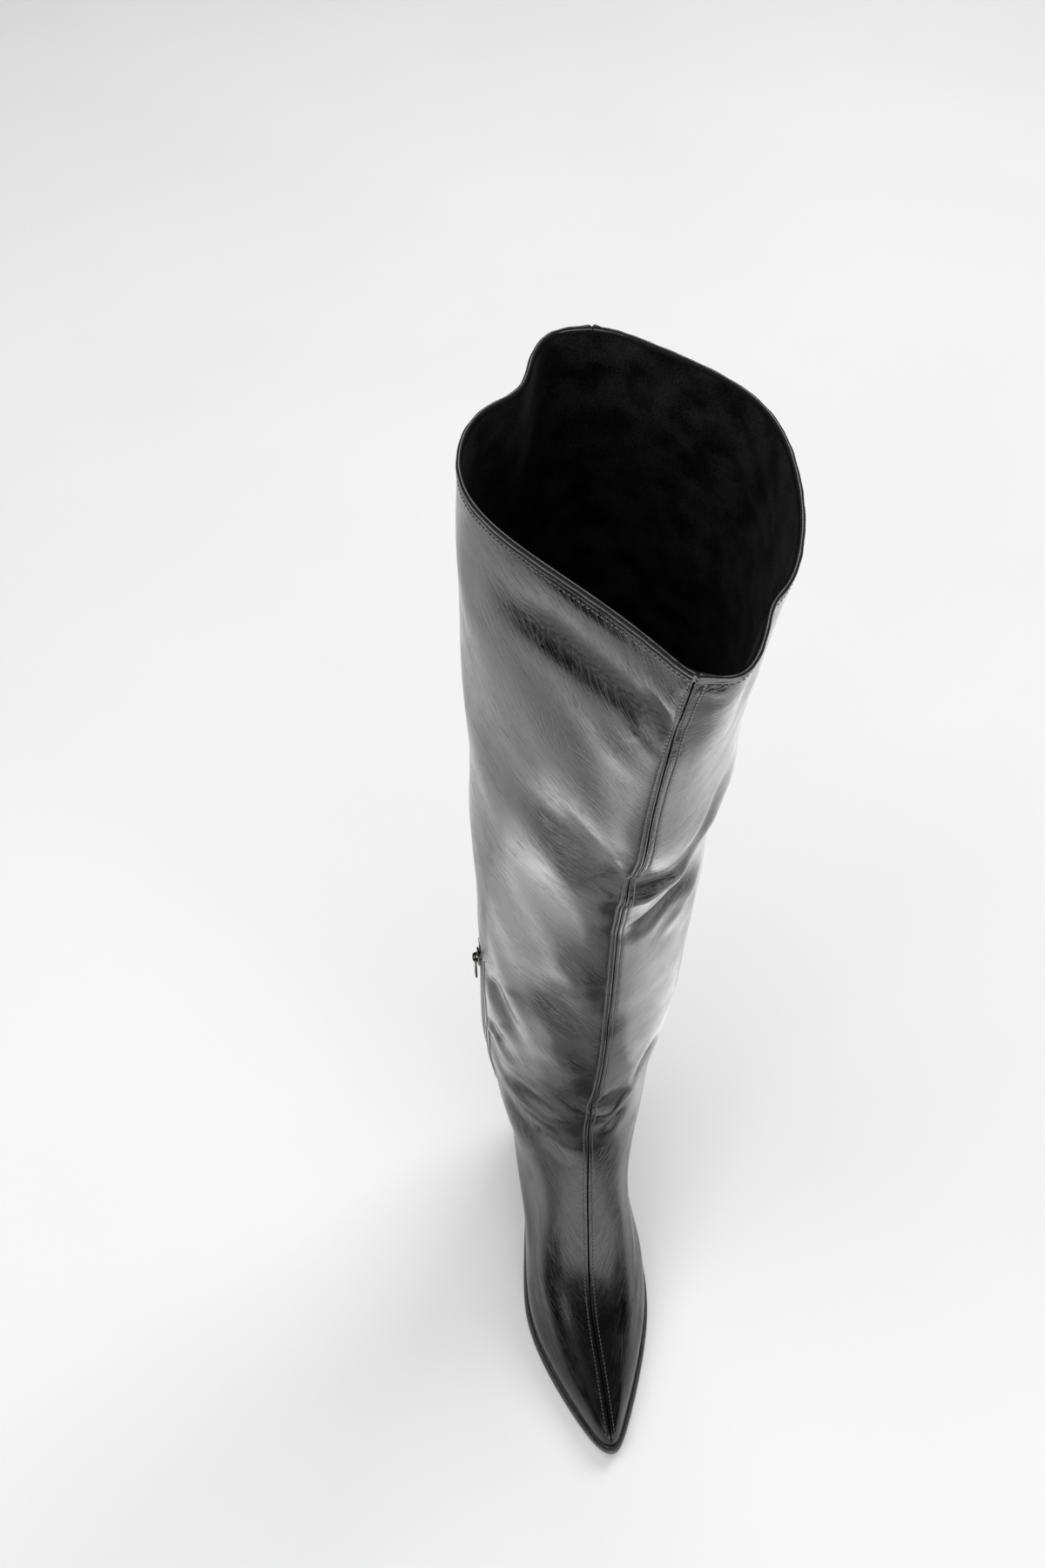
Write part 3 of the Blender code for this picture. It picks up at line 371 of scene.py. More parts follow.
    # the last's sections: power of their arch, and their swell over the feather edge
    arch: float = 2.8
    swell: float = 0.0015
    # line of the instep carried on above the ankle: y, z
    above_ankle: tuple = ((-0.060, 0.30), (0.05, 1.3))
    table_rows: int = 401
    stations: Array = field(init=False, repr=False)
    table: Array = field(init=False, repr=False)
    zip_table: tuple[Array, Array, Array] = field(init=False, repr=False)

    def __post_init__(self) -> None:
        """Work the surface out once on a fine table, which every piece then reads."""
        rows = np.array(self.rings)
        way = walked(rows[:, :2]) + walked(rows[:, 2:4])
        self.stations = way / way[-1]
        angle, station = np.meshgrid(np.arange(360.0), np.linspace(0.0, 1.0, self.table_rows))
        inside = self.worked_out(angle, station)
        before, after = 2.0 * inside[:1] - inside[1:2], 2.0 * inside[-1:] - inside[-2:-1]
        self.table = np.concatenate([before, inside, after])
        route = np.array(self.zip_route) * MM
        station, trial = np.linspace(0.02, 0.70, 69), np.linspace(215.0, 285.0, 71)
        points = self.surface(*np.broadcast_arrays(trial[None, :], station[:, None]))
        miss = steady(route[:, 0], route[:, 1], points[..., 2]) - points[..., 1]
        angle = np.array([np.interp(0.0, row, trial) for row in miss])
        self.zip_table = station, angle, self.surface(angle, station)[:, 2]

    def sole_under(self, y: Array) -> Array:
        """Height of the sole's underside at y."""
        table = np.array(self.sole_line) * MM
        return steady(table[:, 0], table[:, 1], np.asarray(y, float))

    def sole_top(self, y: Array) -> Array:
        """Height of the sole's upper face at y."""
        return self.sole_under(y) + self.sole_thick

    def centre_x(self, y: Array) -> Array:
        """The foot's middle line: it swings from the toe's tip to the heel."""
        return self.toe_x * (1.0 - smooth(y, *self.toe_swing))

    def sole_half_width(self, angle: Array, outer: bool, inset: float = 0.0) -> Array:
        """Half-width of the sole at 0 to 180 degrees: column(angle) sin(angle), less the edge."""
        table = np.array(self.sole_outline)
        edge = self.edge_fore + (self.edge_heel - self.edge_fore) * smooth(angle, *self.edge_turn)
        stretch = spline(table[:, 0], table[:, 1 if outer else 2], angle) * MM - inset * edge
        return stretch * np.sin(np.radians(angle))

    def outline(self, angle: Array, inset: float) -> Array:
        """Plan of the sole at angles round it, in by inset times the edge's own width.

        Args:
            angle: 0 at the toe, 90 on the outer side, 180 at the heel.
            inset: 0 for the sole's edge, 1 for the feather edge.

        Returns:
            Points as x, y.
        """
        folded = np.where(angle <= 180.0, angle, 360.0 - angle)
        front, back = self.toe_y + inset * self.edge_fore, self.heel_y - inset * self.edge_heel
        y = (front + back) / 2.0 - (back - front) / 2.0 * np.cos(np.radians(angle))
        x = np.where(angle <= 180.0, self.sole_half_width(folded, True, inset),
                     -self.sole_half_width(folded, False, inset))
        return np.stack([x + self.centre_x(y), y], axis=-1)

    def toward_spine(self, plan: Array, distance: Array | float) -> Array:
        """Move points in toward the foot's middle line, never past 0.98 of the way."""
        spine_y = np.clip(plan[..., 1], *self.spine)
        inward = np.stack([self.centre_x(spine_y), spine_y], axis=-1) - plan[..., :2]
        length = np.linalg.norm(inward, axis=-1)[..., None]
        return plan[..., :2] + inward / length * np.minimum(distance, length * 0.98)

    def ring(self, row: tuple, angle: Array) -> Array:
        """Points of one ring: the last's arched section low down, the shaft's girths above.

        Args:
            row: one line of `rings`.
            angle: degrees round the ring.

        Returns:
            Points as x, y, z.
        """
        front_y, front_z, back_y, back_z, seam_x = np.array(row[:5]) * MM
        foot = row[5]
        share = (1.0 - np.cos(np.radians(angle))) / 2.0
        y = front_y + (back_y - front_y) * share
        lift_front, lift_back = front_z - self.sole_top(front_y), back_z - self.sole_top(back_y)
        z_foot = self.sole_top(y) + lift_front + (lift_back - lift_front) * share
        z = foot * z_foot + (1.0 - foot) * (front_z + (back_z - front_z) * share)
        outer = np.sin(np.radians(angle)) >= 0.0
        folded = np.where(outer, np.mod(angle, 360.0), 360.0 - np.mod(angle, 360.0))
        girths = np.array(self.girths)
        level = np.full(10, max((front_z + back_z) / 2.0 / MM, girths[0, 0]))
        stretch = spline(girths[:, 0], girths[:, 1:], level) * MM
        knots = np.array([-30.0, 30.0, 60.0, 90.0, 120.0, 150.0, 210.0])
        even = [np.concatenate([side[:1], side, side[-1:]]) for side in (stretch[:5], stretch[5:])]
        shaft = np.where(outer, spline(knots, even[0], folded), spline(knots, even[1], folded))
        sine = np.abs(np.sin(np.radians(angle)))
        front, back = self.toe_y + self.edge_fore, self.heel_y - self.edge_heel
        y_last = y + (back - back_y) * share ** 2
        cosine = ((front + back) / 2.0 - y_last) / ((back - front) / 2.0)
        turn = np.degrees(np.arccos(np.clip(cosine, -1.0, 1.0)))
        half_last = np.where(outer, self.sole_half_width(turn, True, 1.0),
                             self.sole_half_width(turn, False, 1.0))
        line = np.vstack([np.array(self.rings)[:11, :2] * MM, self.above_ankle])
        crown = steady(line[:, 0], line[:, 1], y)
        rise = np.clip((z - self.sole_top(y)) / (crown - self.sole_top(y)), 0.0, 1.0)
        bulge = self.swell * np.sin(np.pi * np.clip(2.0 * rise, 0.0, 1.0))
        half_foot = half_last * np.sqrt(1.0 - rise ** self.arch) + bulge * sine
        slack = smooth(z - self.sole_top(y), 0.005, 0.045) * smooth(y, -0.115, -0.060)
        last_share = foot * (1.0 - slack)
        half = last_share * half_foot + (1.0 - last_share) * shaft * sine
        x = np.where(outer, half, -half) + seam_x + foot * (self.centre_x(y) - self.toe_x)
        return np.stack([x, y, z], axis=-1)

    def worked_out(self, angle: Array, station: Array) -> Array:
        """The outside at arrays of angle and station: splines over the rings, and the waves.

        Each wave pushes out by push exp(-(turn / reach)^2 - (rise / down)^2).
        """
        shape = angle.shape
        angle, station = angle.ravel(), station.ravel()
        rings = np.stack([self.ring(row, angle) for row in self.rings])
        point = np.stack([spline(self.stations, rings[:, :, axis], station)
                          for axis in range(3)], axis=-1)
        columns = np.array(self.rings).T[[0, 2, 4]] * MM
        front_y, back_y, seam = (spline(self.stations, column, station) for column in columns)
        middle_y = (front_y + back_y) / 2.0
        away = unit(np.stack([point[:, 0] - seam, point[:, 1] - middle_y], axis=-1))
        for wave_angle, reach, height, down, push in self.waves:
            turn = np.mod(angle - wave_angle + 180.0, 360.0) - 180.0
            amount = push * MM * bell(turn, reach) * bell(point[:, 2] / MM - height, down)
            point[:, :2] += amount[:, None] * away
        return point.reshape(shape + (3,))

    def surface(self, angle: Array, station: Array) -> Array:
        """The outside read from the table with cubic weights through four rows and columns."""
        angle, station = np.broadcast_arrays(np.asarray(angle, float), np.asarray(station, float))
        across = np.mod(angle, 360.0)
        up = np.clip(station, 0.0, 1.0) * (self.table_rows - 1)
        i = np.floor(across).astype(int)
        j = np.clip(np.floor(up).astype(int), 0, self.table_rows - 2)
        total = np.zeros(angle.shape + (3,))
        for a, weight_a in enumerate(self.weights(across - i)):
            for b, weight_b in enumerate(self.weights(up - j)):
                total += (weight_a * weight_b)[..., None] * self.table[j + b, (i + a - 1) % 360]
        return total

    @staticmethod
    def weights(t: Array) -> tuple[Array, Array, Array, Array]:
        """Weights of the cubic through four even points whose slopes are central differences."""
        return (-0.5 * t + t ** 2 - 0.5 * t ** 3, 1.0 - 2.5 * t ** 2 + 1.5 * t ** 3,
                0.5 * t + 2.0 * t ** 2 - 1.5 * t ** 3, -0.5 * t ** 2 + 0.5 * t ** 3)

    def normals(self, angle: Array, station: Array) -> Array:
        """Unit normals of the smooth outside, from differences along and up."""
        low, high = np.clip(station - 0.002, 0.0, 1.0), np.clip(station + 0.002, 0.0, 1.0)
        along = self.surface(angle + 0.4, station) - self.surface(angle - 0.4, station)
        return unit(np.cross(along, self.surface(angle, high) - self.surface(angle, low)))

    def turn_per_metre(self, angle: Array | float, station: Array) -> Array:
        """Degrees of angle for each metre walked round the ring."""
        chord = self.surface(angle + 0.5, station) - self.surface(angle - 0.5, station)
        return 1.0 / np.linalg.norm(chord, axis=-1)

    def zip_angle(self, station: Array) -> Array:
        """Angle at which each station's ring crosses the zip's middle line."""
        known, angle, _ = self.zip_table
        return spline(known, angle, np.clip(np.atleast_1d(station), known[0], known[-1]))

    def zip_station(self, height: float) -> float:
        """Station at which the zip's middle line has a height."""
        return float(np.interp(height, self.zip_table[2], self.zip_table[0]))

    def station_at(self, angle: Array, height: Array) -> Array:
        """Stations at which the surface has given heights at given angles."""
        trial = np.linspace(0.0, 1.0, 301)
        points = self.surface(np.asarray(angle)[:, None], trial[None, :])
        return np.array([np.interp(h, row, trial) for h, row in zip(height, points[..., 2])])


# Creases -----------------------------------------------------------------------------------
@dataclass(frozen=True)
class Fold:
    """A soft crease along a curve on the leather, through three places (degrees, mm).

    Its height is depth * ends(s) * exp(-(d / width)^2), where d is the distance from the
    curve and the width differs above and below it, with a lower lip of the other sign.
    """

    start: tuple[float, float]
    middle: tuple[float, float]
    end: tuple[float, float]
    depth_mm: float
    above_mm: float
    below_mm: float
    lip: float = 0.15
    fade: tuple[float, float] = (0.35, 0.35)
    crinkle: float = 0.35

    def path(self, form: BootForm) -> Array:
        """The curve on the surface: the parabola through the three places."""
        t = np.linspace(0.0, 1.0, 15)[:, None]
        a, b, c = (np.array(p) for p in (self.start, self.middle, self.end))
        line = a * (1 - t) * (1 - 2 * t) + b * 4 * t * (1 - t) + c * t * (2 * t - 1)
        angle = line[:, 0]
        return form.surface(angle, form.station_at(angle, line[:, 1] * MM))

    def height(self, form: BootForm, points: Array) -> Array:
        """How far the crease moves each of many points, in metres."""
        path = self.path(form)
        result = np.zeros(len(points))
        reach = 3.2 * max(self.above_mm, self.below_mm) * MM
        low, high = path.min(axis=0) - reach, path.max(axis=0) + reach
        near = np.all((points > low) & (points < high), axis=1)
        if not near.any():
            return result
        start, leg = path[:-1], np.diff(path, axis=0)
        away = points[near][:, None, :] - start[None]
        share = np.clip((away * leg).sum(axis=-1) / (leg ** 2).sum(axis=-1), 0.0, 1.0)
        away -= share[..., None] * leg
        distance = np.linalg.norm(away, axis=-1)
        best = distance.argmin(axis=1)
        row = np.arange(len(best))
        distance, above = distance[row, best], away[row, best, 2] > 0.0
        along = (best + share[row, best]) / len(leg)
        width = np.where(above, self.above_mm, self.below_mm) * MM
        ends = smooth(along, 0.0, self.fade[0]) * smooth(along, 1.0, 1.0 - self.fade[1])
        profile = bell(distance, width) - self.lip * bell(distance / width - 2.0, 0.9)
        result[near] = self.depth_mm * MM * ends * profile
        return result


FOLDS = (
    # under the collar: the soft dent that runs round the front
    Fold((-86, 594), (-38, 591), (14, 574), -2.6, 11.0, 9.0, 0.25, (0.3, 0.35), 1.0),
    Fold((-34, 600), (-18, 588), (-2, 564), -1.4, 6.0, 7.0, 0.20, (0.35, 0.35), 1.0),
    Fold((3, 616), (8, 592), (14, 552), -1.6, 8.0, 8.0, 0.15, (0.25, 0.4), 0.9),
    Fold((-62, 574), (-40, 560), (-18, 534), 1.0, 8.0, 10.0, 0.20),
    # knee: the broad diagonal trough of the inner panel and the arcs over it
    Fold((-68, 496), (-32, 449), (4, 414), -6.5, 21.0, 13.0, 0.22, (0.5, 0.25), 0.75),
    Fold((-18, 464), (-10, 453), (-2, 440), 1.1, 4.0, 4.0, 0.30, (0.5, 0.45)),
    Fold((-24, 446), (-12, 434), (-1, 424), -1.1, 3.5, 4.5, 0.30, (0.5, 0.45), 0.8),
    Fold((-62, 450), (-34, 412), (-4, 380), 1.8, 9.0, 14.0, 0.15, (0.45, 0.45)),
    # knee: ridges and pockets of the outer panel
    Fold((0, 400), (24, 424), (54, 476), 4.2, 7.0, 9.0, 0.25, (0.35, 0.5)),
    Fold((1, 352), (28, 372), (60, 386), -4.4, 11.0, 8.0, 0.20, (0.4, 0.4), 0.9),
    Fold((2, 364), (20, 380), (40, 402), 1.5, 4.0, 4.0, 0.2, (0.45, 0.45)),
    Fold((26, 430), (40, 462), (54, 508), -2.0, 7.0, 7.0, 0.2),
    Fold((36, 330), (48, 354), (62, 378), 2.0, 7.0, 8.0, 0.2),
    # calf: the broad softer band of the inner panel
    Fold((-56, 294), (-25, 272), (4, 250), -2.9, 16.0, 13.0, 0.15, (0.4, 0.4)),
    Fold((-50, 330), (-26, 312), (-2, 298), 1.4, 12.0, 14.0, 0.15, (0.45, 0.45)),
    Fold((-50, 236), (-25, 214), (-1, 196), 2.0, 11.0, 12.0, 0.1, (0.4, 0.45)),
    # ankle, inner side: the dimple, the ridge under it and the troughs below
    Fold((-44, 185), (-18, 173), (4, 159), -2.9, 14.0, 5.0, 0.20, (0.6, 0.35), 1.0),
    Fold((-80, 178), (-45, 155), (2, 142), 3.0, 7.0, 8.0, 0.25, (0.3, 0.4)),
    Fold((-80, 152), (-60, 137), (-38, 119), -2.0, 7.0, 7.0, 0.2),
    Fold((-65, 163), (-32, 131), (2, 123), -1.6, 6.0, 6.0, 0.2, (0.4, 0.5)),
    # ankle, outer side: a fan of ridges and pockets from the seam
    Fold((0, 150), (18, 170), (42, 210), 3.0, 5.0, 6.0, 0.25, (0.35, 0.4)),
    Fold((0, 158), (16, 169), (32, 188), -3.8, 6.5, 5.0, 0.25, (0.35, 0.35), 1.0),
    Fold((28, 177), (40, 194), (54, 218), -2.8, 7.0, 6.0, 0.25, (0.35, 0.35), 0.8),
    Fold((2, 146), (26, 160), (48, 192), 1.9, 5.0, 5.0, 0.25, (0.35, 0.4)),
    Fold((2, 135), (20, 144), (40, 154), -1.5, 5.0, 5.0, 0.2, (0.45, 0.45)),
    # beside the zip: puckers
    Fold((-80, 218), (-71, 207), (-56, 188), -2.2, 6.5, 5.5, 0.3, (0.2, 0.5)),
    Fold((-76, 266), (-66, 244), (-51, 214), -2.4, 7.0, 6.0, 0.3, (0.2, 0.5)),
    Fold((-84, 204), (-76, 186), (-60, 160), -2.2, 6.5, 6.0, 0.3, (0.2, 0.5)),
    # back of the ankle and knee
    Fold((150, 186), (180, 176), (212, 190), -1.8, 8.0, 6.0, 0.25),
    Fold((140, 214), (176, 206), (215, 222), -1.2, 9.0, 7.0, 0.25),
    Fold((135, 404), (180, 392), (225, 408), -1.9, 14.0, 10.0, 0.2),
    Fold((125, 436), (165, 428), (200, 440), -1.1, 12.0, 10.0, 0.2),
    Fold((100, 168), (125, 182), (150, 172), -1.0, 8.0, 7.0, 0.2),
    Fold((70, 420), (100, 402), (130, 396), -1.2, 12.0, 10.0, 0.2),
)

# Slow waves of loose leather: lengths round and up (mm), turn (degrees), height (mm), phase.
SLACK_WAVES = (
    (62.0, 118.0, 24.0, 0.40, 0.4), (48.0, 90.0, -31.0, 0.28, 2.1), (36.0, 75.0, 40.0, 0.16, 4.0),
    (27.0, 52.0, -18.0, 0.09, 1.3), (19.0, 44.0, 33.0, 0.05, 5.2),
)


@dataclass
class Leather:
    """The leather skin: the boot's form with its seams, creases and slack."""

    form: BootForm
    # raised seam: distance from the seam line, height (mm)
    seam_profile: tuple = (
        (0.0, -0.9), (0.12, -0.8), (0.28, -0.15), (0.5, 0.14), (0.9, 0.27), (1.4, 0.31),
        (1.9, 0.24), (2.3, 0.10), (2.6, 0.03), (2.9, 0.08), (3.4, 0.14), (4.3, 0.12), (5.5, 0.06),
        (7.2, 0.0))
    # the front is drawn into a low ridge along its seam: height and reach (mm)
    front_ridge: tuple[float, float] = (1.7, 13.0)
    # edge of the zip's slot: distance from it, height (mm)
    slot_profile: tuple = (
        (0.0, -0.9), (0.25, -0.15), (0.6, 0.22), (1.2, 0.34), (2.2, 0.30), (2.8, 0.05), (3.4, 0.24),
        (5.0, 0.28), (5.8, 0.04), (6.4, 0.12), (8.0, 0.0))
    slot_half: float = 0.0026
    zip_foot_z: float = 0.1040
    zip_head_z: float = 0.2710
    # the plan's scale: mean radius of the shaft (mm) and the leather's height (m)
    mean_radius_mm: float = 55.0
    tall: float = 0.66
    # heights over which the slack and the ridge set in and give way, and the calm by the zip
    slack_z: tuple = ((0.110, 0.190), (0.56, 0.62))
    ridge_z: tuple = ((0.110, 0.200), (0.626, 0.560))
    calm_z: tuple = ((0.080, 0.100), (0.300, 0.280))

    def seam_mm(self, angle: Array, station: Array) -> Array:
        """Distance from the nearer seam line, in millimetres."""
        front = np.abs(np.mod(angle + 180.0, 360.0) - 180.0)
        back = 180.0 - front
        per_metre = np.where(front < 90.0, self.form.turn_per_metre(0.0, station),
                             self.form.turn_per_metre(180.0, station))
        return np.minimum(front, back) / per_metre / MM

    def zip_mm(self, angle: Array, station: Array) -> Array:
        """Distance from the edge of the zip's slot, in millimetres."""
        centre = self.form.zip_angle(station.ravel()).reshape(station.shape)
        turn = np.mod(angle - centre + 180.0, 360.0) - 180.0
        return (np.abs(turn) / self.form.turn_per_metre(centre, station) - self.slot_half) / MM

    def loose(self, angle: Array, station: Array, points: Array) -> tuple[Array, Array]:
        """Heights of the creases and the slack, and how creased each place is.

        Args:
            angle: degrees round the boot.
            station: way up it.
            points: the smooth surface there.

        Returns:
            Height out of the smooth surface in metres, and the crease share.
        """
        flat = points.reshape(-1, 3)
        creased, mark = np.zeros(len(flat)), np.zeros(len(flat))
        for fold in FOLDS:
            height = fold.height(self.form, flat)
            creased += height
            mark = np.maximum(mark, fold.crinkle * np.abs(height / (fold.depth_mm * MM)))
        mark = np.clip(mark, 0.0, 1.0).reshape(station.shape)
        z = points[..., 2]
        round_mm = np.radians(angle) * self.mean_radius_mm
        slack = np.zeros(station.shape)
        for across, up, turn, height, phase in SLACK_WAVES:
            lean = math.tan(math.radians(turn))
            waves = round_mm / across + (z / MM + lean * round_mm) / up
            slack += height * MM * np.sin(2.0 * np.pi * waves + phase)
        low, high = self.slack_z
        slack *= smooth(z, *low) * (1.0 - 0.5 * smooth(z, *high))
        seam = self.seam_mm(angle, station)
        slack *= 0.25 + 0.75 * smooth(seam, 4.0, 22.0)
        height = creased.reshape(station.shape) + slack
        rise, reach = self.front_ridge
        front = np.cos(np.radians(angle)) > 0.0
        low, high = self.ridge_z
        along = smooth(z, *low) * smooth(z, *high)
        height += front * along * rise * MM * np.exp(-seam / reach)
        low, high = self.calm_z
        at_zip = smooth(z, *low) * smooth(z, *high)
        height *= 1.0 - at_zip * (1.0 - smooth(self.zip_mm(angle, station), 1.0, 12.0))
        height *= smooth(station, 1.0, 0.985)
        return height, mark

    def skin(self, angle: Array, station: Array) -> tuple[Array, Array]:
        """Points of the leather's face: S + n (creases + seams + the slot's edges).

        Args:
            angle: degrees round the boot.
            station: way up it.

        Returns:
            Points and the crease share.
        """
        base, normal = self.form.surface(angle, station), self.form.normals(angle, station)
        height, mark = self.loose(angle, station, base)
        away, rise = np.array(self.seam_profile).T
        off = self.seam_mm(angle, station)
        height += steady(away, rise, off) * MM * (off < away[-1]) * smooth(station, 0.002, 0.012)
        away, rise = np.array(self.slot_profile).T
        off = self.zip_mm(angle, station)
        beside = smooth(base[..., 2], self.zip_foot_z - 0.006, self.zip_foot_z)
        beside = beside * smooth(base[..., 2], self.zip_head_z + 0.006, self.zip_head_z)
        inside = (off < away[-1]) * (off > -0.3)
        height += steady(away, rise, np.maximum(off, 0.0)) * MM * inside * beside
        return base + normal * height[..., None], mark


@dataclass
class ShaftPanels:
    """The outer and inner leather panels, from the feather edge to the collar's fold."""

    leather: Leather
    rows: int = 320
    middle_columns: int = 205
    before_zip_columns: int = 128
    behind_zip_columns: int = 62
    # columns beside a seam and beside the slot, at distances that follow their profiles
    band_mm: tuple = (0.12, 0.3, 0.5, 0.7, 0.95, 1.3, 1.7, 2.0, 2.3, 2.6, 2.9, 3.2, 3.7, 4.3, 5.0,
                      6.0, 7.2)
    slot_mm: tuple = (0.0, 0.2, 0.45, 0.8, 1.3, 2.0, 2.5, 2.8, 3.1, 3.7, 4.6, 5.4, 5.8, 6.2, 7.0,
                      8.2)
    top: float = 0.9965
    edge_thick: float = 0.0011

    def stations(self) -> tuple[Array, int, int]:
        """Rows closer at the ankle and the knee, with rows at both ends of the zip."""
        form = self.leather.form
        fine = np.linspace(0.0, self.top, 2001)
        z = form.surface(np.zeros(2001), fine)[:, 2]
        weight = 1.0 + 1.3 * bell(z - 0.165, 0.04) + 0.9 * bell(z - 0.42, 0.05)
        weight += 1.5 * smooth(fine, 0.03, 0.0) + 1.5 * smooth(fine, 0.97, 1.0)
        way = np.concatenate([[0.0], np.cumsum((weight[1:] + weight[:-1]) / 2.0)])
        rows = np.interp(np.linspace(0.0, 1.0, self.rows), way / way[-1], fine)
        ends = []
        for height in (self.leather.zip_foot_z, self.leather.zip_head_z):
            exact = form.zip_station(height)
            nearest = int(np.abs(rows - exact).argmin())
            rows[nearest] = exact
            ends.append(nearest)
        return rows, ends[0], ends[1]

    def columns(self, side: Side, station: Array) -> tuple[Array, int]:
        """Angles of the columns in each row, and the column on the slot's rear edge."""
        form = self.leather.form
        band = np.array(self.band_mm) * MM
        front = band[None, :] * form.turn_per_metre(0.0, station)[:, None]
        back = band[None, :] * form.turn_per_metre(180.0, station)[:, None]
        if side is Side.OUTER:
            share = np.linspace(0.0, 1.0, self.middle_columns)[None, 1:-1]
            low, high = front[:, -1:], 180.0 - back[:, -1:]
            middle = low + (high - low) * share
            return np.concatenate([front, middle, 180.0 - back[:, ::-1]], axis=1), -1
        centre = form.zip_angle(station)[:, None]
        slot = (np.array(self.slot_mm) * MM + self.leather.slot_half)[None, :]
        slot = slot * form.turn_per_metre(centre[:, 0], station)[:, None]
        first, last = 180.0 + back, 360.0 - front[:, ::-1]
        rear, fore = centre - slot[:, ::-1], centre + slot
        behind = np.linspace(0.0, 1.0, self.behind_zip_columns)[None, 1:-1]
        before = np.linspace(0.0, 1.0, self.before_zip_columns)[None, 1:-1]
        parts = [first, first[:, -1:] + (rear[:, :1] - first[:, -1:]) * behind, rear,
                 fore, fore[:, -1:] + (last[:, :1] - fore[:, -1:]) * before, last]
        edge = sum(part.shape[1] for part in parts[:3]) - 1
        return np.concatenate(parts, axis=1), edge

    def build(self, side: Side, material: Material) -> Piece:
        """One panel as a sheet whose edges are turned in by a skirt.

        Args:
            side: which panel.
            material: its finish.

        Returns:
            The panel.
        """
        rows, foot, head = self.stations()
        angle, edge = self.columns(side, rows)
        station = np.repeat(rows[:, None], angle.shape[1], axis=1)
        points, mark = self.leather.skin(angle, station)
        form = self.leather.form
        under = points[:1].copy()
        under[0, :, :2] = form.toward_spine(points[0], 0.0006)
        under[0, :, 2] = form.sole_top(points[0, :, 1]) - 0.0002
        points = np.concatenate([under, points])
        mark, station, angle = (np.concatenate([values[:1], values])
                                for values in (mark, station, angle))
        count, width = points.shape[:2]
        steps = np.linalg.norm(np.diff(points, axis=1), axis=-1)
        around = np.concatenate([np.zeros((count, 1)), np.cumsum(steps, axis=1)], axis=1)
        plan = np.stack([around, station * self.leather.tall], axis=-1)
        flat, faces = [points.reshape(-1, 3)], [grid_quads(count, width)]
        if side is Side.INNER:
            plan[..., 0] = around[:, -1:] - around
            keep = np.ones((count - 1, width - 1), bool)
            keep[foot + 1:head + 1, edge] = False
            faces = [faces[0][keep.ravel()]]
            start = count * width
            normal = form.normals(angle, station)
            span = np.arange(foot + 1, head + 2)
            for column, way in ((edge, -1), (edge + 1, 1)):
                flat.append(points[span, column] - normal[span, column] * self.edge_thick)
                face, back = span * width + column, start + np.arange(len(span))
                strip = np.stack([face[:-1], face[1:], back[1:], back[:-1]], axis=-1)
                faces.append(strip[:, ::way])
                start += len(span)
        flat = np.concatenate(flat)
        extra = np.zeros((len(flat) - count * width, 2))
        plan = np.concatenate([plan.reshape(-1, 2), extra])
        crease = np.concatenate([mark.ravel(), extra[:, 0]])
        return add_mesh(f"shaft_panel_{side.value}", flat, faces, material, plan, crease)


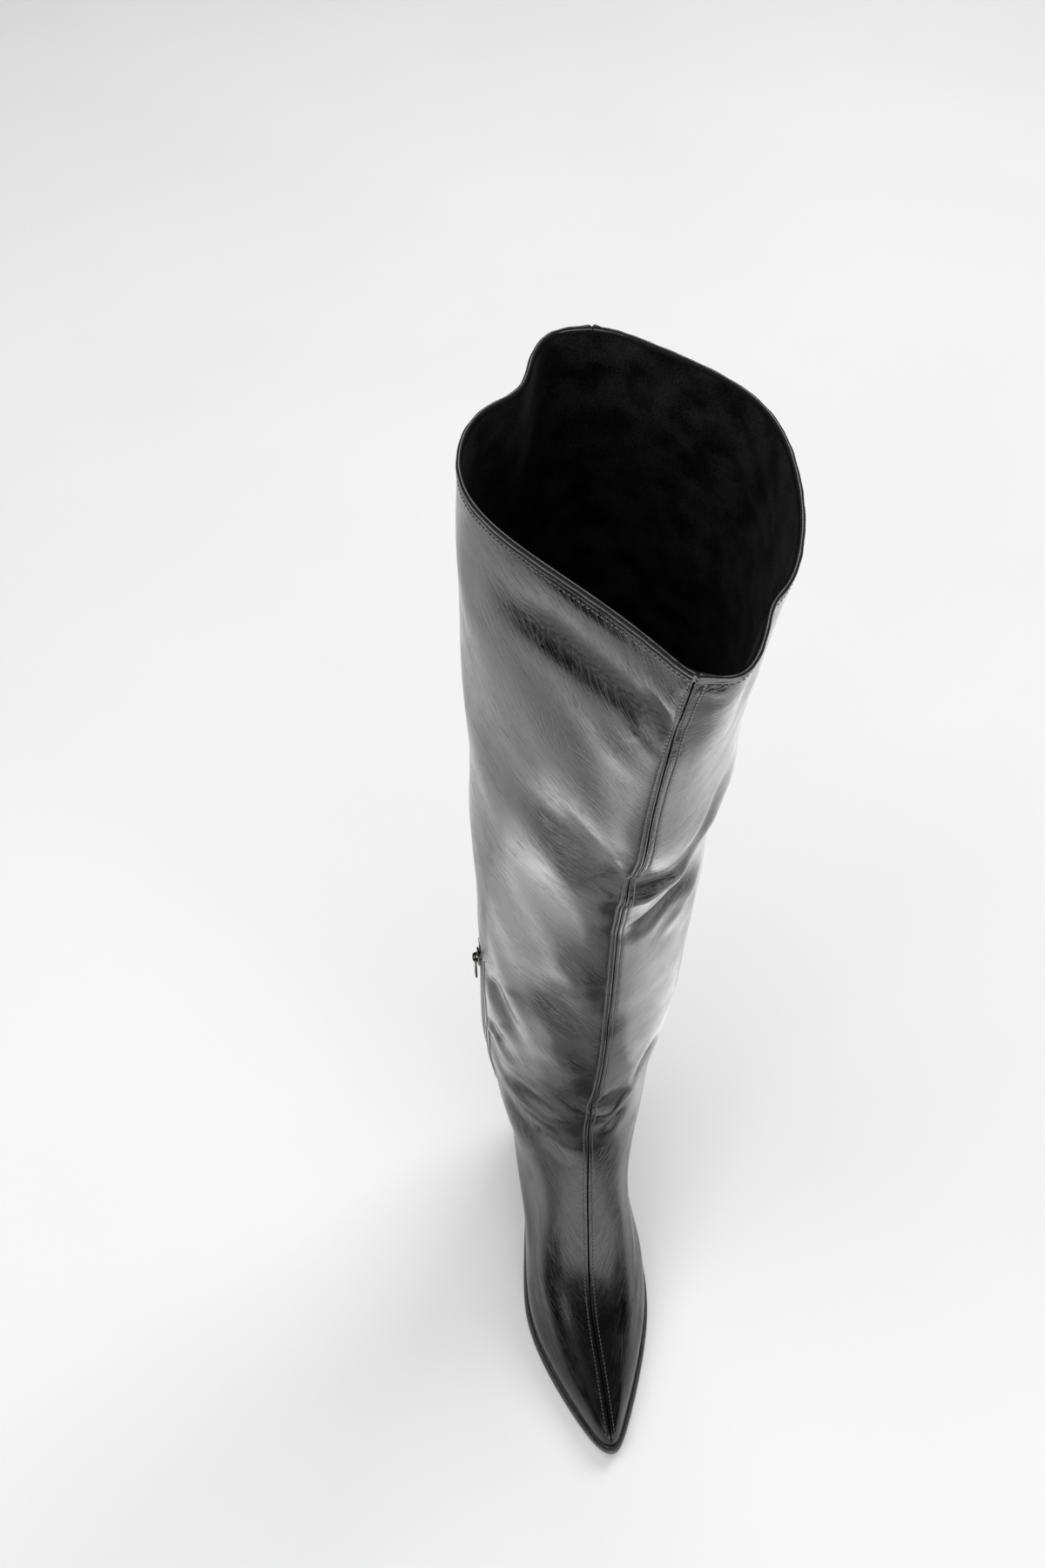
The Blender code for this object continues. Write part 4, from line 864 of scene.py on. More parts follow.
# Thread ------------------------------------------------------------------------------------
@dataclass
class Stitching:
    """Rows of lock stitches: short thread arcs that dip into the leather at both ends."""

    leather: Leather
    pitch: float = 0.0023
    length: float = 0.0019
    radius: float = 0.00038
    sides: int = 6
    rings: int = 7
    # middle of a stitch over the leather, and its ends under it
    crown: float = 0.00012
    bite: float = 0.00010
    # rows from the seam's line, from the slot's edge, and the collar's station
    seam_row: float = 0.0026
    zip_rows: tuple[float, float] = (0.0028, 0.0058)
    collar_row: float = 0.9925
    # how far each kind of row stands out of the leather, and its threads' lean (radians)
    seam_set: tuple[float, float] = (0.00010, 0.12)
    collar_set: tuple[float, float] = (-0.00012, 0.06)
    zip_set: tuple[float, float] = (0.00008, 0.08)

    def row(self, angle: Array, station: Array, rise: float,
            lean: float) -> tuple[Array, list[Array]]:
        """A row of stitches at even places along a line on the leather.

        Args:
            angle: degrees round the boot, point by point along the line.
            station: way up it.
            rise: how far the row stands out of the leather.
            lean: turn of each stitch across the row, in radians.

        Returns:
            Points and face arrays.
        """
        path = self.leather.skin(angle, station)[0]
        way = walked(path)
        at = np.arange(self.pitch / 2.0, way[-1], self.pitch)
        place, before, after = (
            np.stack([np.interp(at + shift, way, path[:, k]) for k in range(3)], axis=-1)
            for shift in (0.0, -0.0005, 0.0005))
        normal = self.leather.form.normals(np.interp(at, way, angle), np.interp(at, way, station))
        return self.threads(place + normal * rise, unit(after - before), normal, lean)

    def threads(self, place: Array, ahead: Array, normal: Array,
                lean: float) -> tuple[Array, list[Array]]:
        """All the stitches of a row as one mesh.

        Along s in -1..1 and round a, each is place + L / 2 s . ahead + h(s) . normal
        + r sqrt(1 - s^4) (cos a . side + sin a . normal), turned by `lean` to the row, with
        h(s) = (crown + bite) (1 - s^2) - bite.

        Args:
            place: middle of each stitch.
            ahead: direction of sewing.
            normal: out of the leather.
            lean: turn of each stitch across the row, in radians.

        Returns:
            Points and face arrays.
        """
        side = unit(np.cross(ahead, normal))
        ahead = unit(ahead * math.cos(lean) + side * math.sin(lean))
        side = unit(np.cross(ahead, normal))
        s = np.linspace(-1.0, 1.0, self.rings)
        turn = turns(self.sides)[:, None]
        thick = self.radius * np.sqrt(np.maximum(1.0 - s ** 4, 0.03))
        middle = (place[:, None] + self.length / 2.0 * s[:, None] * ahead[:, None]
                  + ((self.crown + self.bite) * (1.0 - s ** 2) - self.bite)[:, None]
                  * normal[:, None])
        points = (middle[:, :, None] + thick[:, None, None]
                  * (np.cos(turn) * side[:, None, None] + np.sin(turn) * normal[:, None, None]))
        per = self.rings * self.sides
        quads = grid_quads(self.rings, self.sides, closed=True)[:, ::-1]
        ends = [np.arange(self.sides), np.arange(self.sides)[::-1] + (self.rings - 1) * self.sides]
        caps = np.array([[e[0], e[k], e[k + 1]] for e in ends for k in range(1, self.sides - 1)])
        start = (np.arange(len(place)) * per)[:, None, None]
        faces = [(quads + start).reshape(-1, 4), (caps + start).reshape(-1, 3)]
        return points.reshape(-1, 3), faces

    def build(self, material: Material) -> list[Piece]:
        """Every visible row: beside both seams, under the collar's fold and beside the zip."""
        form, leather = self.leather.form, self.leather
        station = np.linspace(0.012, 0.9935, 1500)
        rise, lean = self.seam_set
        rows = {}
        for name, centre, low in (("front_seam", 0.0, 0.012), ("back_seam", 180.0, 0.02)):
            way = station[station > low]
            offset = self.seam_row * form.turn_per_metre(centre, way)
            rows[name] = [self.row(centre + sign * offset, way, rise, sign * lean)
                          for sign in (-1.0, 1.0)]
        angle = np.linspace(3.0, 357.0, 900)
        rim = np.full_like(angle, self.collar_row)
        rows["collar"] = [self.row(angle, rim, *self.collar_set)]
        way = np.linspace(*map(form.zip_station, (leather.zip_foot_z, leather.zip_head_z)), 500)
        centre = form.zip_angle(way)
        offsets = [(leather.slot_half + off) * form.turn_per_metre(centre, way)
                   for off in self.zip_rows]
        rise, lean = self.zip_set
        rows["zip"] = [self.row(centre + sign * offset, way, rise, sign * lean)
                       for sign in (-1.0, 1.0) for offset in offsets]
        return [add_mesh(f"stitches_{name}", *joined(row), material) for name, row in rows.items()]


# Collar and lining ---------------------------------------------------------------------------
@dataclass
class Collar:
    """The folded edge of the topline, a bead of leather turned over the lining."""

    leather: Leather
    columns: int = 720
    # out of the smooth surface, down from the rim (mm), from outside to inside
    profile: tuple = (
        (-0.30, 3.7), (0.08, 3.5), (0.24, 3.1), (0.20, 2.5), (-0.06, 2.1), (-0.26, 1.75),
        (-0.20, 1.4), (0.14, 1.1), (0.40, 0.7), (0.50, 0.2), (0.44, -0.35), (0.18, -0.82),
        (-0.24, -1.08), (-0.72, -1.15), (-1.20, -0.95), (-1.54, -0.5), (-1.72, 0.2), (-1.78, 1.0),
        (-1.76, 1.9), (-1.70, 2.4), (-1.45, 2.5))

    def build(self, material: Material) -> Piece:
        """The bead swept round the rim; the seam allowances make it thicker at both seams."""
        form, every = self.leather.form, np.ones(self.columns)
        angle = np.linspace(0.0, 360.0, self.columns, endpoint=False)
        rim = form.surface(angle, every)
        fall = unit(form.surface(angle, 0.985 * every) - rim)
        level = unit(form.normals(angle, 0.996 * every) * np.array([1.0, 1.0, 0.0]))
        off, turn = self.leather.seam_mm(angle, every), np.radians(angle)
        lump = 0.75 * bell(off, 3.0) - 0.95 * bell(off, 0.6)
        wobble = 0.06 * np.sin(turn * 31.0) + 0.05 * np.sin(turn * 53.0 + 1.0)
        uneven = (lump + wobble)[:, None]
        rings = []
        for out, down in self.profile:
            thicker = uneven if out > -1.0 else -0.4 * uneven
            higher = 0.5 * uneven if down < 1.0 else 0.0
            rings.append(rim + level * (out + thicker) * MM + fall * (down - higher) * MM)
        points, faces = lofted(np.stack(rings), poles=False)
        return add_mesh("collar_fold", points, faces, material)


@dataclass
class Lining:
    """The suede lining inside the shaft and the foot, with its own back seam."""

    leather: Leather
    rows: int = 150
    columns: int = 300
    wall: float = 0.0019

    def build(self, material: Material) -> Piece:
        """The inside: S - n (wall + seam tucks), facing in, down to the sock's edge."""
        form = self.leather.form
        angle, station = np.meshgrid(np.linspace(0.0, 360.0, self.columns, endpoint=False),
                                     np.linspace(0.0, 0.9985, self.rows))
        off = self.leather.seam_mm(angle, station)
        depth = self.wall + 0.0005 * bell(off - 2.5, 1.6) - 0.0006 * bell(off, 0.8)
        base, normal = form.surface(angle, station), form.normals(angle, station)
        height, _ = self.leather.loose(angle, station, base)
        points = base + normal * (height - depth)[..., None]
        low = points[:1].copy()
        low[0, :, :2] = form.toward_spine(base[0], 0.0026)
        low[0, :, 2] = form.sole_top(low[0, :, 1]) + 0.0012
        points[0, :, :2] = form.toward_spine(base[0], 0.0022)
        points[0, :, 2] = np.maximum(points[0, :, 2], form.sole_top(base[0, :, 1]) + 0.0030)
        points = np.concatenate([low, points])
        faces = grid_quads(len(points), self.columns, closed=True)[:, ::-1]
        plan = np.stack([np.radians(angle) * self.leather.mean_radius_mm * MM,
                         station * self.leather.tall], axis=-1)
        plan = np.concatenate([plan[:1], plan]).reshape(-1, 2)
        return add_mesh("shaft_lining", points.reshape(-1, 3), [faces], material, plan)


# Sole and heel -------------------------------------------------------------------------------
@dataclass
class Sole:
    """The outsole with its beaded, grooved edge, and the sock lining on the insole."""

    form: BootForm
    columns: int = 420
    sock_columns: int = 240
    # share of the edge's upper bead and groove that is left round the heel
    heel_share: float = 0.42
    # in from the edge (mm), share of the thickness: underside, side, bead, groove, seat
    profile: tuple = (
        (60.0, 0.0), (22.0, 0.0), (14.0, 0.0), (8.0, 0.0), (3.2, 0.0), (1.2, 0.02), (0.45, 0.09),
        (0.12, 0.22), (0.0, 0.38), (0.06, 0.52), (0.42, 0.60), (0.46, 0.64), (0.16, 0.70),
        (0.10, 0.82), (0.28, 0.95), (0.7, 1.04), (1.3, 1.08), (1.9, 1.06), (2.4, 0.98),
        (2.7, 0.86), (3.0, 0.84), (3.4, 0.95), (4.4, 0.99), (8.0, 0.99), (16.0, 0.99),
        (60.0, 0.99))
    # the sock: in from its edge, over the sole's top (mm): board, padded cover, low crown
    sock_profile: tuple = (
        (60.0, 2.8), (6.0, 2.8), (0.3, 2.8), (0.0, 3.3), (0.0, 4.4), (0.4, 4.9), (1.2, 5.1),
        (4.0, 5.5), (10.0, 5.9), (18.0, 6.1), (60.0, 6.1))

    def outsole(self, material: Material) -> Piece:
        """The plate: rings of the outline moved in, at shares of the thickness."""
        angle = np.linspace(0.0, 360.0, self.columns, endpoint=False)
        edge = self.form.outline(angle, 0.0)
        turn = np.minimum(angle, 360.0 - angle)
        narrow = 1.0 + (self.heel_share - 1.0) * smooth(turn, *self.form.edge_turn)
        rings = []
        for inset, share in self.profile:
            squeeze = narrow if 0.5 < inset < 5.0 and share > 0.45 else np.ones(self.columns)
            plan = self.form.toward_spine(edge, (inset * MM * squeeze)[:, None])
            under = self.form.sole_under(plan[:, 1])
            rings.append(np.column_stack([plan, under + share * self.form.sole_thick]))
        points, faces = lofted(np.stack(rings), poles=False)
        return add_mesh("sole_plate", points, faces, material)

    def sock(self, material: Material) -> Piece:
        """The sock: the insole's board under a thin padded cover, a low crown across it."""
        flat = self.form.outline(np.linspace(0.0, 360.0, self.sock_columns, endpoint=False), 1.0)
        inside = 0.0039 + 0.0045 * smooth(flat[:, 1], -0.1800, self.form.toe_y)
        rings = []
        for inset, height in self.sock_profile:
            plan = self.form.toward_spine(flat, (inside + inset * MM)[:, None])
            rise = height * MM * (1.0 - 0.25 * smooth(plan[:, 1], -0.17, -0.21))
            rings.append(np.column_stack([plan, self.form.sole_top(plan[:, 1]) + rise]))
        points, faces = lofted(np.stack(rings), poles=False)
        return add_mesh("sock_lining", points, faces, material)


@dataclass
class Heel:
    """The covered heel block and the top lift it stands on."""

    form: BootForm
    front: float = -0.0190
    back: float = 0.0190
    half: float = 0.0190
    corner: float = math.radians(132.0)
    squareness: float = 0.6
    flare: float = 1.6
    seat_front: float = -0.0340
    back_curve: float = 0.0030
    breast_curve: float = 0.0022
    lift: float = 0.0060
    arc: int = 121
    breast: int = 30
    # the lift: in from its edge, height (mm), with a fine groove near the top
    lift_profile: tuple = (
        (0.9, 0.0), (0.25, 0.05), (0.0, 0.45), (0.0, 4.2), (0.18, 4.45), (0.18, 4.6),
        (0.0, 4.85), (0.0, 5.6), (0.3, 6.0))

    def ring(self, share: float) -> Array:
        """Plan of the heel at a share of the way up: foot + (seat - foot) share^flare."""
        reach_front = abs(math.cos(self.corner)) ** self.squareness
        reach = (self.back - self.front) / (1.0 + reach_front)
        turn = np.linspace(-self.corner, self.corner, self.arc)
        foot = np.stack([-self.half * raised(np.sin(turn), self.squareness),
                         self.back + reach * (raised(np.cos(turn), self.squareness) - 1.0)], -1)
        low, high = self.form.toe_y, self.form.heel_y
        start = math.degrees(math.acos((low + high - 2.0 * self.seat_front) / (high - low)))
        seat = self.form.outline(np.linspace(start, 360.0 - start, self.arc), 0.0)
        seat = self.form.toward_spine(seat, 0.0008)
        ring = foot + (seat - foot) * share ** self.flare
        bow = math.sin(math.pi * share)
        ring[:, 1] -= smooth(ring[:, 1], 0.0, high) * self.back_curve * bow
        across = np.linspace(0.0, 1.0, self.breast + 2)[1:-1, None]
        breast = ring[-1] + (ring[0] - ring[-1]) * across
        breast[:, 1] += self.breast_curve * bow * np.sin(np.pi * across[:, 0])
        return self.rounded(np.concatenate([ring, breast]))

    @staticmethod
    def rounded(plan: Array) -> Array:
        """A closed plan with its two sharp corners eased by averaging neighbours."""
        for _ in range(3):
            plan = (np.roll(plan, 1, axis=0) + 2.0 * plan + np.roll(plan, -1, axis=0)) / 4.0
        return plan

    def block(self, material: Material) -> Piece:
        """The block from the lift to the sole, closed above and below."""
        rings = []
        for share in np.linspace(0.0, 1.0, 40):
            plan = self.ring(float(share))
            top = self.form.sole_under(plan[:, 1]) - 0.0002
            bottom = self.lift + 0.0002
            rings.append(np.column_stack([plan, bottom + (top - bottom) * share]))
        low = rings[0].copy()
        low[:, :2] += (low[:, :2].mean(axis=0) - low[:, :2]) * 0.02
        points, faces = lofted(np.stack([low, *rings]))
        return add_mesh("heel_cover", points, faces, material)

    def top_lift(self, material: Material) -> Piece:
        """The lift: a thin plate with eased edges and a fine groove round its side."""
        plan = self.ring(0.0)
        inward = unit(plan.mean(axis=0) - plan)
        rings = [np.column_stack([plan + inward * inset * MM, np.full(len(plan), height * MM)])
                 for inset, height in self.lift_profile]
        points, faces = lofted(np.stack(rings))
        return add_mesh("heel_lift", points, faces, material)


# Zip -------------------------------------------------------------------------------------------
@dataclass
class Zip:
    """The zip of the inner side: woven tape, coil, slider and swinging pull tab."""

    leather: Leather
    slider_z: float = 0.2630
    tape_z: tuple[float, float] = (0.0970, 0.2830)
    teeth_z: tuple[float, float] = (0.1046, 0.2636)
    tape_half: float = 0.0100
    # the tape's front and back, out of the leather's face
    tape_out: tuple[float, float] = (-0.0029, -0.0036)
    tooth_pitch: float = 0.00125
    # a hoop of the coil: half-width, lean to its side, half-height, middle's depth, wire
    hoop: tuple[float, ...] = (0.00145, 0.0006, 0.00052, 0.00105, 0.00033)
    # cord at each side of the coil: radius, distance from the middle, depth
    cord: tuple[float, float, float] = (0.00028, 0.0021, 0.0013)
    # half-sizes across and up of the slider's plate and of its neck, and the neck's middle
    plate: tuple[float, float] = (0.0042, 0.0060)
    neck: tuple[float, float] = (0.0014, 0.0015)
    neck_up: float = 0.0031
    # the bridge: half-length, foot's and crown's height, half-sizes of its section
    bridge: tuple[float, ...] = (0.0030, 0.0013, 0.0027, 0.0012, 0.00042)
    pivot_out: float = 0.0026
    # the eye: half-sizes across and up, radius of its wire
    eye: tuple[float, float, float] = (0.00215, 0.00272, 0.00047)
    # the tab: its lower and upper end under the pivot, half-width and how much it narrows
    tab: tuple[float, float, float, float] = (-0.0180, -0.0049, 0.00262, 0.0007)
    # plate of the slider and the tab: share of the outline, height (mm)
    plate_profile: tuple = (
        (0.80, 0.40), (0.93, 0.42), (0.99, 0.55), (1.0, 0.9), (0.985, 1.2), (0.93, 1.42),
        (0.80, 1.55), (0.5, 1.66), (0.2, 1.70))
    tab_profile: tuple = (
        (0.55, -0.30), (0.80, -0.30), (0.90, -0.52), (0.97, -0.50), (1.0, -0.28), (1.0, 0.28),
        (0.97, 0.50), (0.90, 0.52), (0.80, 0.30), (0.55, 0.30))

    def frame(self) -> Array:
        """The slider's place and its across, up and outward axes, as four rows."""
        form = self.leather.form
        station = np.array([form.zip_station(self.slider_z)])
        place = form.surface(form.zip_angle(station), station)[0]
        out = form.normals(form.zip_angle(station), station)[0]
        higher = np.array([form.zip_station(self.slider_z + 0.01)])
        up = form.surface(form.zip_angle(higher), higher)[0] - place
        up = unit(up - out * (up @ out))
        return np.stack([place, unit(np.cross(up, out)), up, out])

    def line(self, low: float, high: float, count: int) -> tuple[Array, Array, Array, Array]:
        """Stations, angles, points and normals along the zip between two heights."""
        form = self.leather.form
        station = np.linspace(form.zip_station(low), form.zip_station(high), count)
        angle = form.zip_angle(station)
        return station, angle, form.surface(angle, station), form.normals(angle, station)

    def tape(self, material: Material) -> Piece:
        """The tape: a thin strip 2.9 mm under the leather's face, ribbed beside the coil."""
        form, rows, columns = self.leather.form, 200, 41
        station, centre, _, _ = self.line(*self.tape_z, rows)
        offsets = np.linspace(-self.tape_half, self.tape_half, columns)
        angle = centre[:, None] + form.turn_per_metre(centre, station)[:, None] * offsets
        station = np.repeat(station[:, None], columns, axis=1)
        base, normal = form.surface(angle, station), form.normals(angle, station)
        rib = 0.00012 * np.cos(offsets / 0.0006)
        face, back = self.tape_out
        front, back = base + normal * (face + rib)[:, None], base + normal * back
        points, faces = lofted(np.concatenate([front, back[:, ::-1]], axis=1))
        plan = np.zeros((rows, 2 * columns, 2))
        plan[..., 0] = np.concatenate([offsets, offsets])
        plan[..., 1] = np.linspace(0.0, 0.19, rows)[:, None]
        plan = np.concatenate([plan.reshape(-1, 2), np.zeros((2, 2))])
        return add_mesh("zip_woven_tape", points, faces, material, plan)

    def coil(self, material: Material) -> Piece:
        """The coil: hoops left and right in turn, each a flattened arch across the middle."""
        low, high = self.teeth_z
        count, bends, sides = int((high - low) / self.tooth_pitch), 14, 6
        _, _, place, normal = self.line(low + 0.0006, high - 0.0006, count)
        up = unit(np.gradient(place, axis=0))
        across = unit(np.cross(up, normal))
        wide, lean, tall, deep, wire = self.hoop
        t, section = turns(bends)[:, None], turns(sides)[:, None]
        sign = np.where(np.arange(count) % 2 == 0, 1.0, -1.0)[:, None, None]
        beside, out = across[:, None] * sign, normal[:, None]
        centre = (place[:, None] + beside * (lean + wide * np.cos(t))
                  + out * (tall * np.sin(t) - deep))
        radial = unit(beside * np.cos(t) + out * np.sin(t))
        ring = (np.cos(section) * radial[:, :, None]
                + 1.15 * np.sin(section) * up[:, None, None])
        points = centre[:, :, None] + wire * ring
        quads = grid_quads(bends + 1, sides, closed=True) % (bends * sides)
        start = (np.arange(count) * bends * sides)[:, None, None]
        even, odd = quads + start[::2], quads[:, ::-1] + start[1::2]
        faces = np.concatenate([even.reshape(-1, 4), odd.reshape(-1, 4)])
        radius, apart, deep = self.cord
        cords = [tube(place + across * side * apart - normal * deep, radius, sides)
                 for side in (-1.0, 1.0)]
        return add_mesh("zip_coil", *joined([(points.reshape(-1, 3), [faces]), *cords]), material)

    def slider(self, material: Material) -> Piece:
        """The slider: a shield-shaped, domed plate, its neck and the bridge over it."""
        place, *axes = self.frame()
        axes, t = np.array(axes), turns(64)
        wide, tall = self.plate
        y = tall * raised(np.sin(t), 0.75)
        half = wide * (1.0 - 0.24 * smooth(y, tall / 2.0, -tall))
        x = (half - 0.0009 * smooth(y, 0.7 * tall, tall)) * raised(np.cos(t), 0.45)
        plate = [spread(place, axes, x * share, y * share, height * MM)
                 for share, height in self.plate_profile]
        x, y = self.neck[0] * np.cos(t), self.neck_up + self.neck[1] * np.sin(t)
        neck = [spread(place, axes, x, y, height * MM) for height in (-1.8, -1.7, 0.5, 1.0)]
        s, ring = np.linspace(0.0, np.pi, 25), turns(14)[:, None]
        long, foot, crown, wide, thick = self.bridge
        path = spread(place, axes, 0.0, long * raised(np.cos(s), 0.7),
                      foot + crown * raised(np.sin(s), 0.7))
        lift = np.cross(axes[0], unit(np.gradient(path, axis=0)))
        bridge = (path[:, None] + wide * raised(np.cos(ring), 0.6) * axes[0]
                  + thick * raised(np.sin(ring), 0.6) * lift[:, None])
        shapes = [lofted(np.stack(plate)), lofted(np.stack(neck)), lofted(bridge)]
        return add_mesh("zip_slider_body", *joined(shapes), material)

    def pull(self, material: Material) -> Piece:
        """The pull: an eye whose bar turns in the bridge, then a slim tab with a raised rim."""
        place, _, _, out = self.frame()
        level = unit(out * np.array([1.0, 1.0, 0.0]))
        axes = np.array([unit(np.cross([0.0, 0.0, 1.0], level)), (0.0, 0.0, 1.0), level])
        pivot, t = place + out * self.pivot_out, turns(48)
        wide, tall, radius = self.eye
        path = spread(pivot, axes, wide * raised(np.cos(t), 0.6),
                      tall * raised(np.sin(t), 0.6) - 0.0027, 0.0)
        eye = tube(path, radius, 10, closed=True, up=level)
        low, high, wide, narrower = self.tab
        centre, length = (low + high) / 2.0, high - low
        y = 0.5 * raised(np.sin(t), 0.5)
        x = (wide - narrower * smooth(y, -0.5, 0.5)) * raised(np.cos(t), 0.5)
        tab = [spread(pivot, axes, x * share, centre + y * (length - (1.0 - share) * 0.006),
                      height * MM) for share, height in self.tab_profile]
        return add_mesh("zip_pull_tab", *joined([eye, lofted(np.stack(tab))]), material)


# Finishes --------------------------------------------------------------------------------
# a range with soft ends, and the place of the colour among a mix's outputs
SOFT = {"interpolation_type": "SMOOTHSTEP"}
MIXED_COLOUR = 2


class Nodes:
    """The nodes of one finish, round its Principled shader."""

    def __init__(self, name: str) -> None:
        """Start an empty material of that name."""
        self.material = bpy.data.materials.new(name)
        self.material.use_nodes = True
        self.tree = self.material.node_tree

    def fill(self, node: bpy.types.Node, inputs: dict | tuple) -> None:
        """Put a value or a link into each socket, named or counted."""
        for key, value in dict(inputs if isinstance(inputs, dict) else enumerate(inputs)).items():
            if isinstance(value, Socket):
                self.tree.links.new(value, node.inputs[key])
            else:
                node.inputs[key].default_value = value

    def add(self, kind: str, inputs: dict | tuple = (), out: int | str = 0,
            **settings: object) -> Socket:
        """Add a node with its settings and links.

        Args:
            kind: the node's type, without its prefix.
            inputs: for each socket, by name or in order, a value or the output that feeds it.
            out: name or place of the output that is wanted.
            settings: properties of the node.

        Returns:
            That output.
        """
        node = self.tree.nodes.new("ShaderNode" + kind)
        for key, value in settings.items():
            setattr(node, key, value)
        self.fill(node, inputs)
        return node.outputs[out]

    def turned(self, place: Socket, turn: float, length: float, width: float) -> Socket:
        """A place turned by some degrees and measured in lengths and widths (mm)."""
        return self.add("Mapping", {
            "Vector": place, "Rotation": (0.0, 0.0, math.radians(turn)),
            "Scale": (length * MM, width * MM, 1.0)}, vector_type="TEXTURE")

    def colour(self, value: Socket, low: float, high: float, first: str, second: str) -> Socket:
        """The first colour where the value is low, the second where it is high."""
        share = self.add("MapRange", (value, low, high, 0.0, 1.0), **SOFT)
        return self.add("Mix", {"Factor": share, "A": linear(first), "B": linear(second)},
                        MIXED_COLOUR, data_type="RGBA")

    def dress(self, inputs: dict) -> Material:
        """Fill the shader's own sockets and give the material back."""
        self.fill(self.tree.nodes["Principled BSDF"], inputs)
        return self.material


@dataclass(frozen=True)
class LeatherFinish:
    """Smooth aniline calf, glazed: fine pores, hairline wrinkles and a clear glossy top coat."""

    name: str = "black_glazed_calf"
    deep: str = "040405"
    worn: str = "0B0B0C"
    roughness: tuple[float, float] = (0.11, 0.21)
    coat: float = 0.08
    coat_roughness: float = 0.12
    grain_mm: float = 0.9
    grain_depth_mm: float = 0.018
    # wrinkles on the plan: turn (degrees), length and width (mm), half-width in the noise, strength
    hairlines: tuple = ((44.0, 34.0, 3.6, 0.03, 1.0), (30.0, 20.0, 2.6, 0.025, 0.8))
    hair_depth_mm: float = 0.10
    # crazing in the creases: turn (degrees), length and width (mm)
    crazing: tuple[float, float, float] = (20.0, 3.4, 1.7)
    crinkle_depth_mm: float = 0.30
    creased_roughness: float = 0.40

    def build(self) -> Material:
        """Grain cells and pores from position; hairlines run with the leather's plan."""
        nodes = Nodes(self.name)
        place = nodes.add("TexCoord", out="Object")
        plan = nodes.add("UVMap", uv_map="leather_plan")
        crease = nodes.add("Attribute", out="Fac", attribute_name="crease")
        per_grain = 1.0 / (self.grain_mm * MM)
        cells = nodes.add("TexVoronoi", {"Vector": place, "Scale": per_grain, "Randomness": 1.0},
                          "Distance", feature="DISTANCE_TO_EDGE")
        cells = nodes.add("MapRange", (cells, 0.0, 0.22, 0.0, 1.0), **SOFT)
        pores = nodes.add("TexNoise", {"Vector": place, "Scale": 2.2 * per_grain, "Detail": 2.0})
        patches = nodes.add("TexNoise", {
            "Vector": place, "Scale": 55.0, "Detail": 4.0, "Roughness": 0.6})
        sway = nodes.add("TexNoise", {"Vector": plan, "Scale": 9.0, "Detail": 1.0}, "Color")
        bent = nodes.add("VectorMath", (sway, (0.035, 0.035, 0.0), plan), operation="MULTIPLY_ADD")
        mask = nodes.add("Math", (nodes.add("MapRange", (crease, 0.0, 0.7, 0.0, 0.8), **SOFT),
                                  nodes.add("MapRange", (patches, 0.36, 0.66, 0.22, 0.75), **SOFT)),
                         operation="ADD")
        crazed = nodes.add("TexVoronoi", {
            "Vector": nodes.turned(bent, *self.crazing), "Scale": 1.0, "Randomness": 1.0},
            "Distance", feature="SMOOTH_F1", voronoi_dimensions="2D")
        crinkle = nodes.add("Math", (nodes.add("MapRange", (crazed, 0.15, 0.75, 0.0, 1.0), **SOFT),
                                     nodes.add("MapRange", (crease, 0.25, 0.9, 0.0, 1.0), **SOFT)),
                            operation="MULTIPLY")
        reliefs = [(cells, self.grain_depth_mm), (pores, 1.2 * self.grain_depth_mm),
                   (crinkle, -self.crinkle_depth_mm)]
        for turn, length, width, near, strength in self.hairlines:
            field = nodes.add("TexNoise", {
                "Vector": nodes.turned(bent, turn, length, width),
                "Scale": 1.0, "Detail": 2.0, "Roughness": 0.45})
            off = nodes.add("Math", (field, 0.5), operation="SUBTRACT")
            off = nodes.add("Math", (off,), operation="ABSOLUTE")
            line = nodes.add("MapRange", (off, near, 0.0, 0.0, strength), **SOFT)
            masked = nodes.add("Math", (line, mask), operation="MULTIPLY")
            reliefs.append((masked, -self.hair_depth_mm))
        under = {}
        for height, depth_mm in reliefs:
            under = {"Normal": nodes.add("Bump", {
                "Height": height, "Distance": depth_mm * MM, "Strength": 1.0, **under})}
        return nodes.dress({
            "Base Color": nodes.colour(patches, 0.35, 0.75, self.deep, self.worn),
            "Roughness": nodes.add("Math", (
                nodes.add("MapRange", (patches, 0.30, 0.70, *self.roughness), **SOFT),
                nodes.add("MapRange", (crease, 0.15, 1.0, 0.0, self.creased_roughness), **SOFT)),
                operation="ADD"),
            "IOR": 1.5, "Coat Weight": self.coat, "Coat Roughness": self.coat_roughness,
            "Coat IOR": 1.5, **under})


@dataclass(frozen=True)
class SuedeFinish:
    """Brushed split suede: short nap, clouded by the hand, with a weak sheen."""

    name: str = "black_brushed_suede"
    deep: str = "080809"
    raised: str = "2A2A2C"
    nap_mm: float = 0.6
    sheen: float = 0.02

    def build(self) -> Material:
        """Nap from fine noise, clouds from slow noise."""
        nodes = Nodes(self.name)
        place = nodes.add("TexCoord", out="Object")
        nap = nodes.add("TexNoise", {
            "Vector": place, "Scale": 1.0 / (self.nap_mm * MM), "Detail": 3.0})
        cloud = nodes.add("TexNoise", {"Vector": place, "Scale": 75.0, "Detail": 4.0})
        both = nodes.add("Math", (nap, cloud), operation="MULTIPLY")
        return nodes.dress({
            "Base Color": nodes.colour(both, 0.12, 0.40, self.deep, self.raised),
            "Normal": nodes.add("Bump", {"Height": nap, "Distance": 0.0002, "Strength": 0.8}),
            "Roughness": 0.95, "IOR": 1.08, "Sheen Weight": self.sheen, "Sheen Roughness": 0.45})


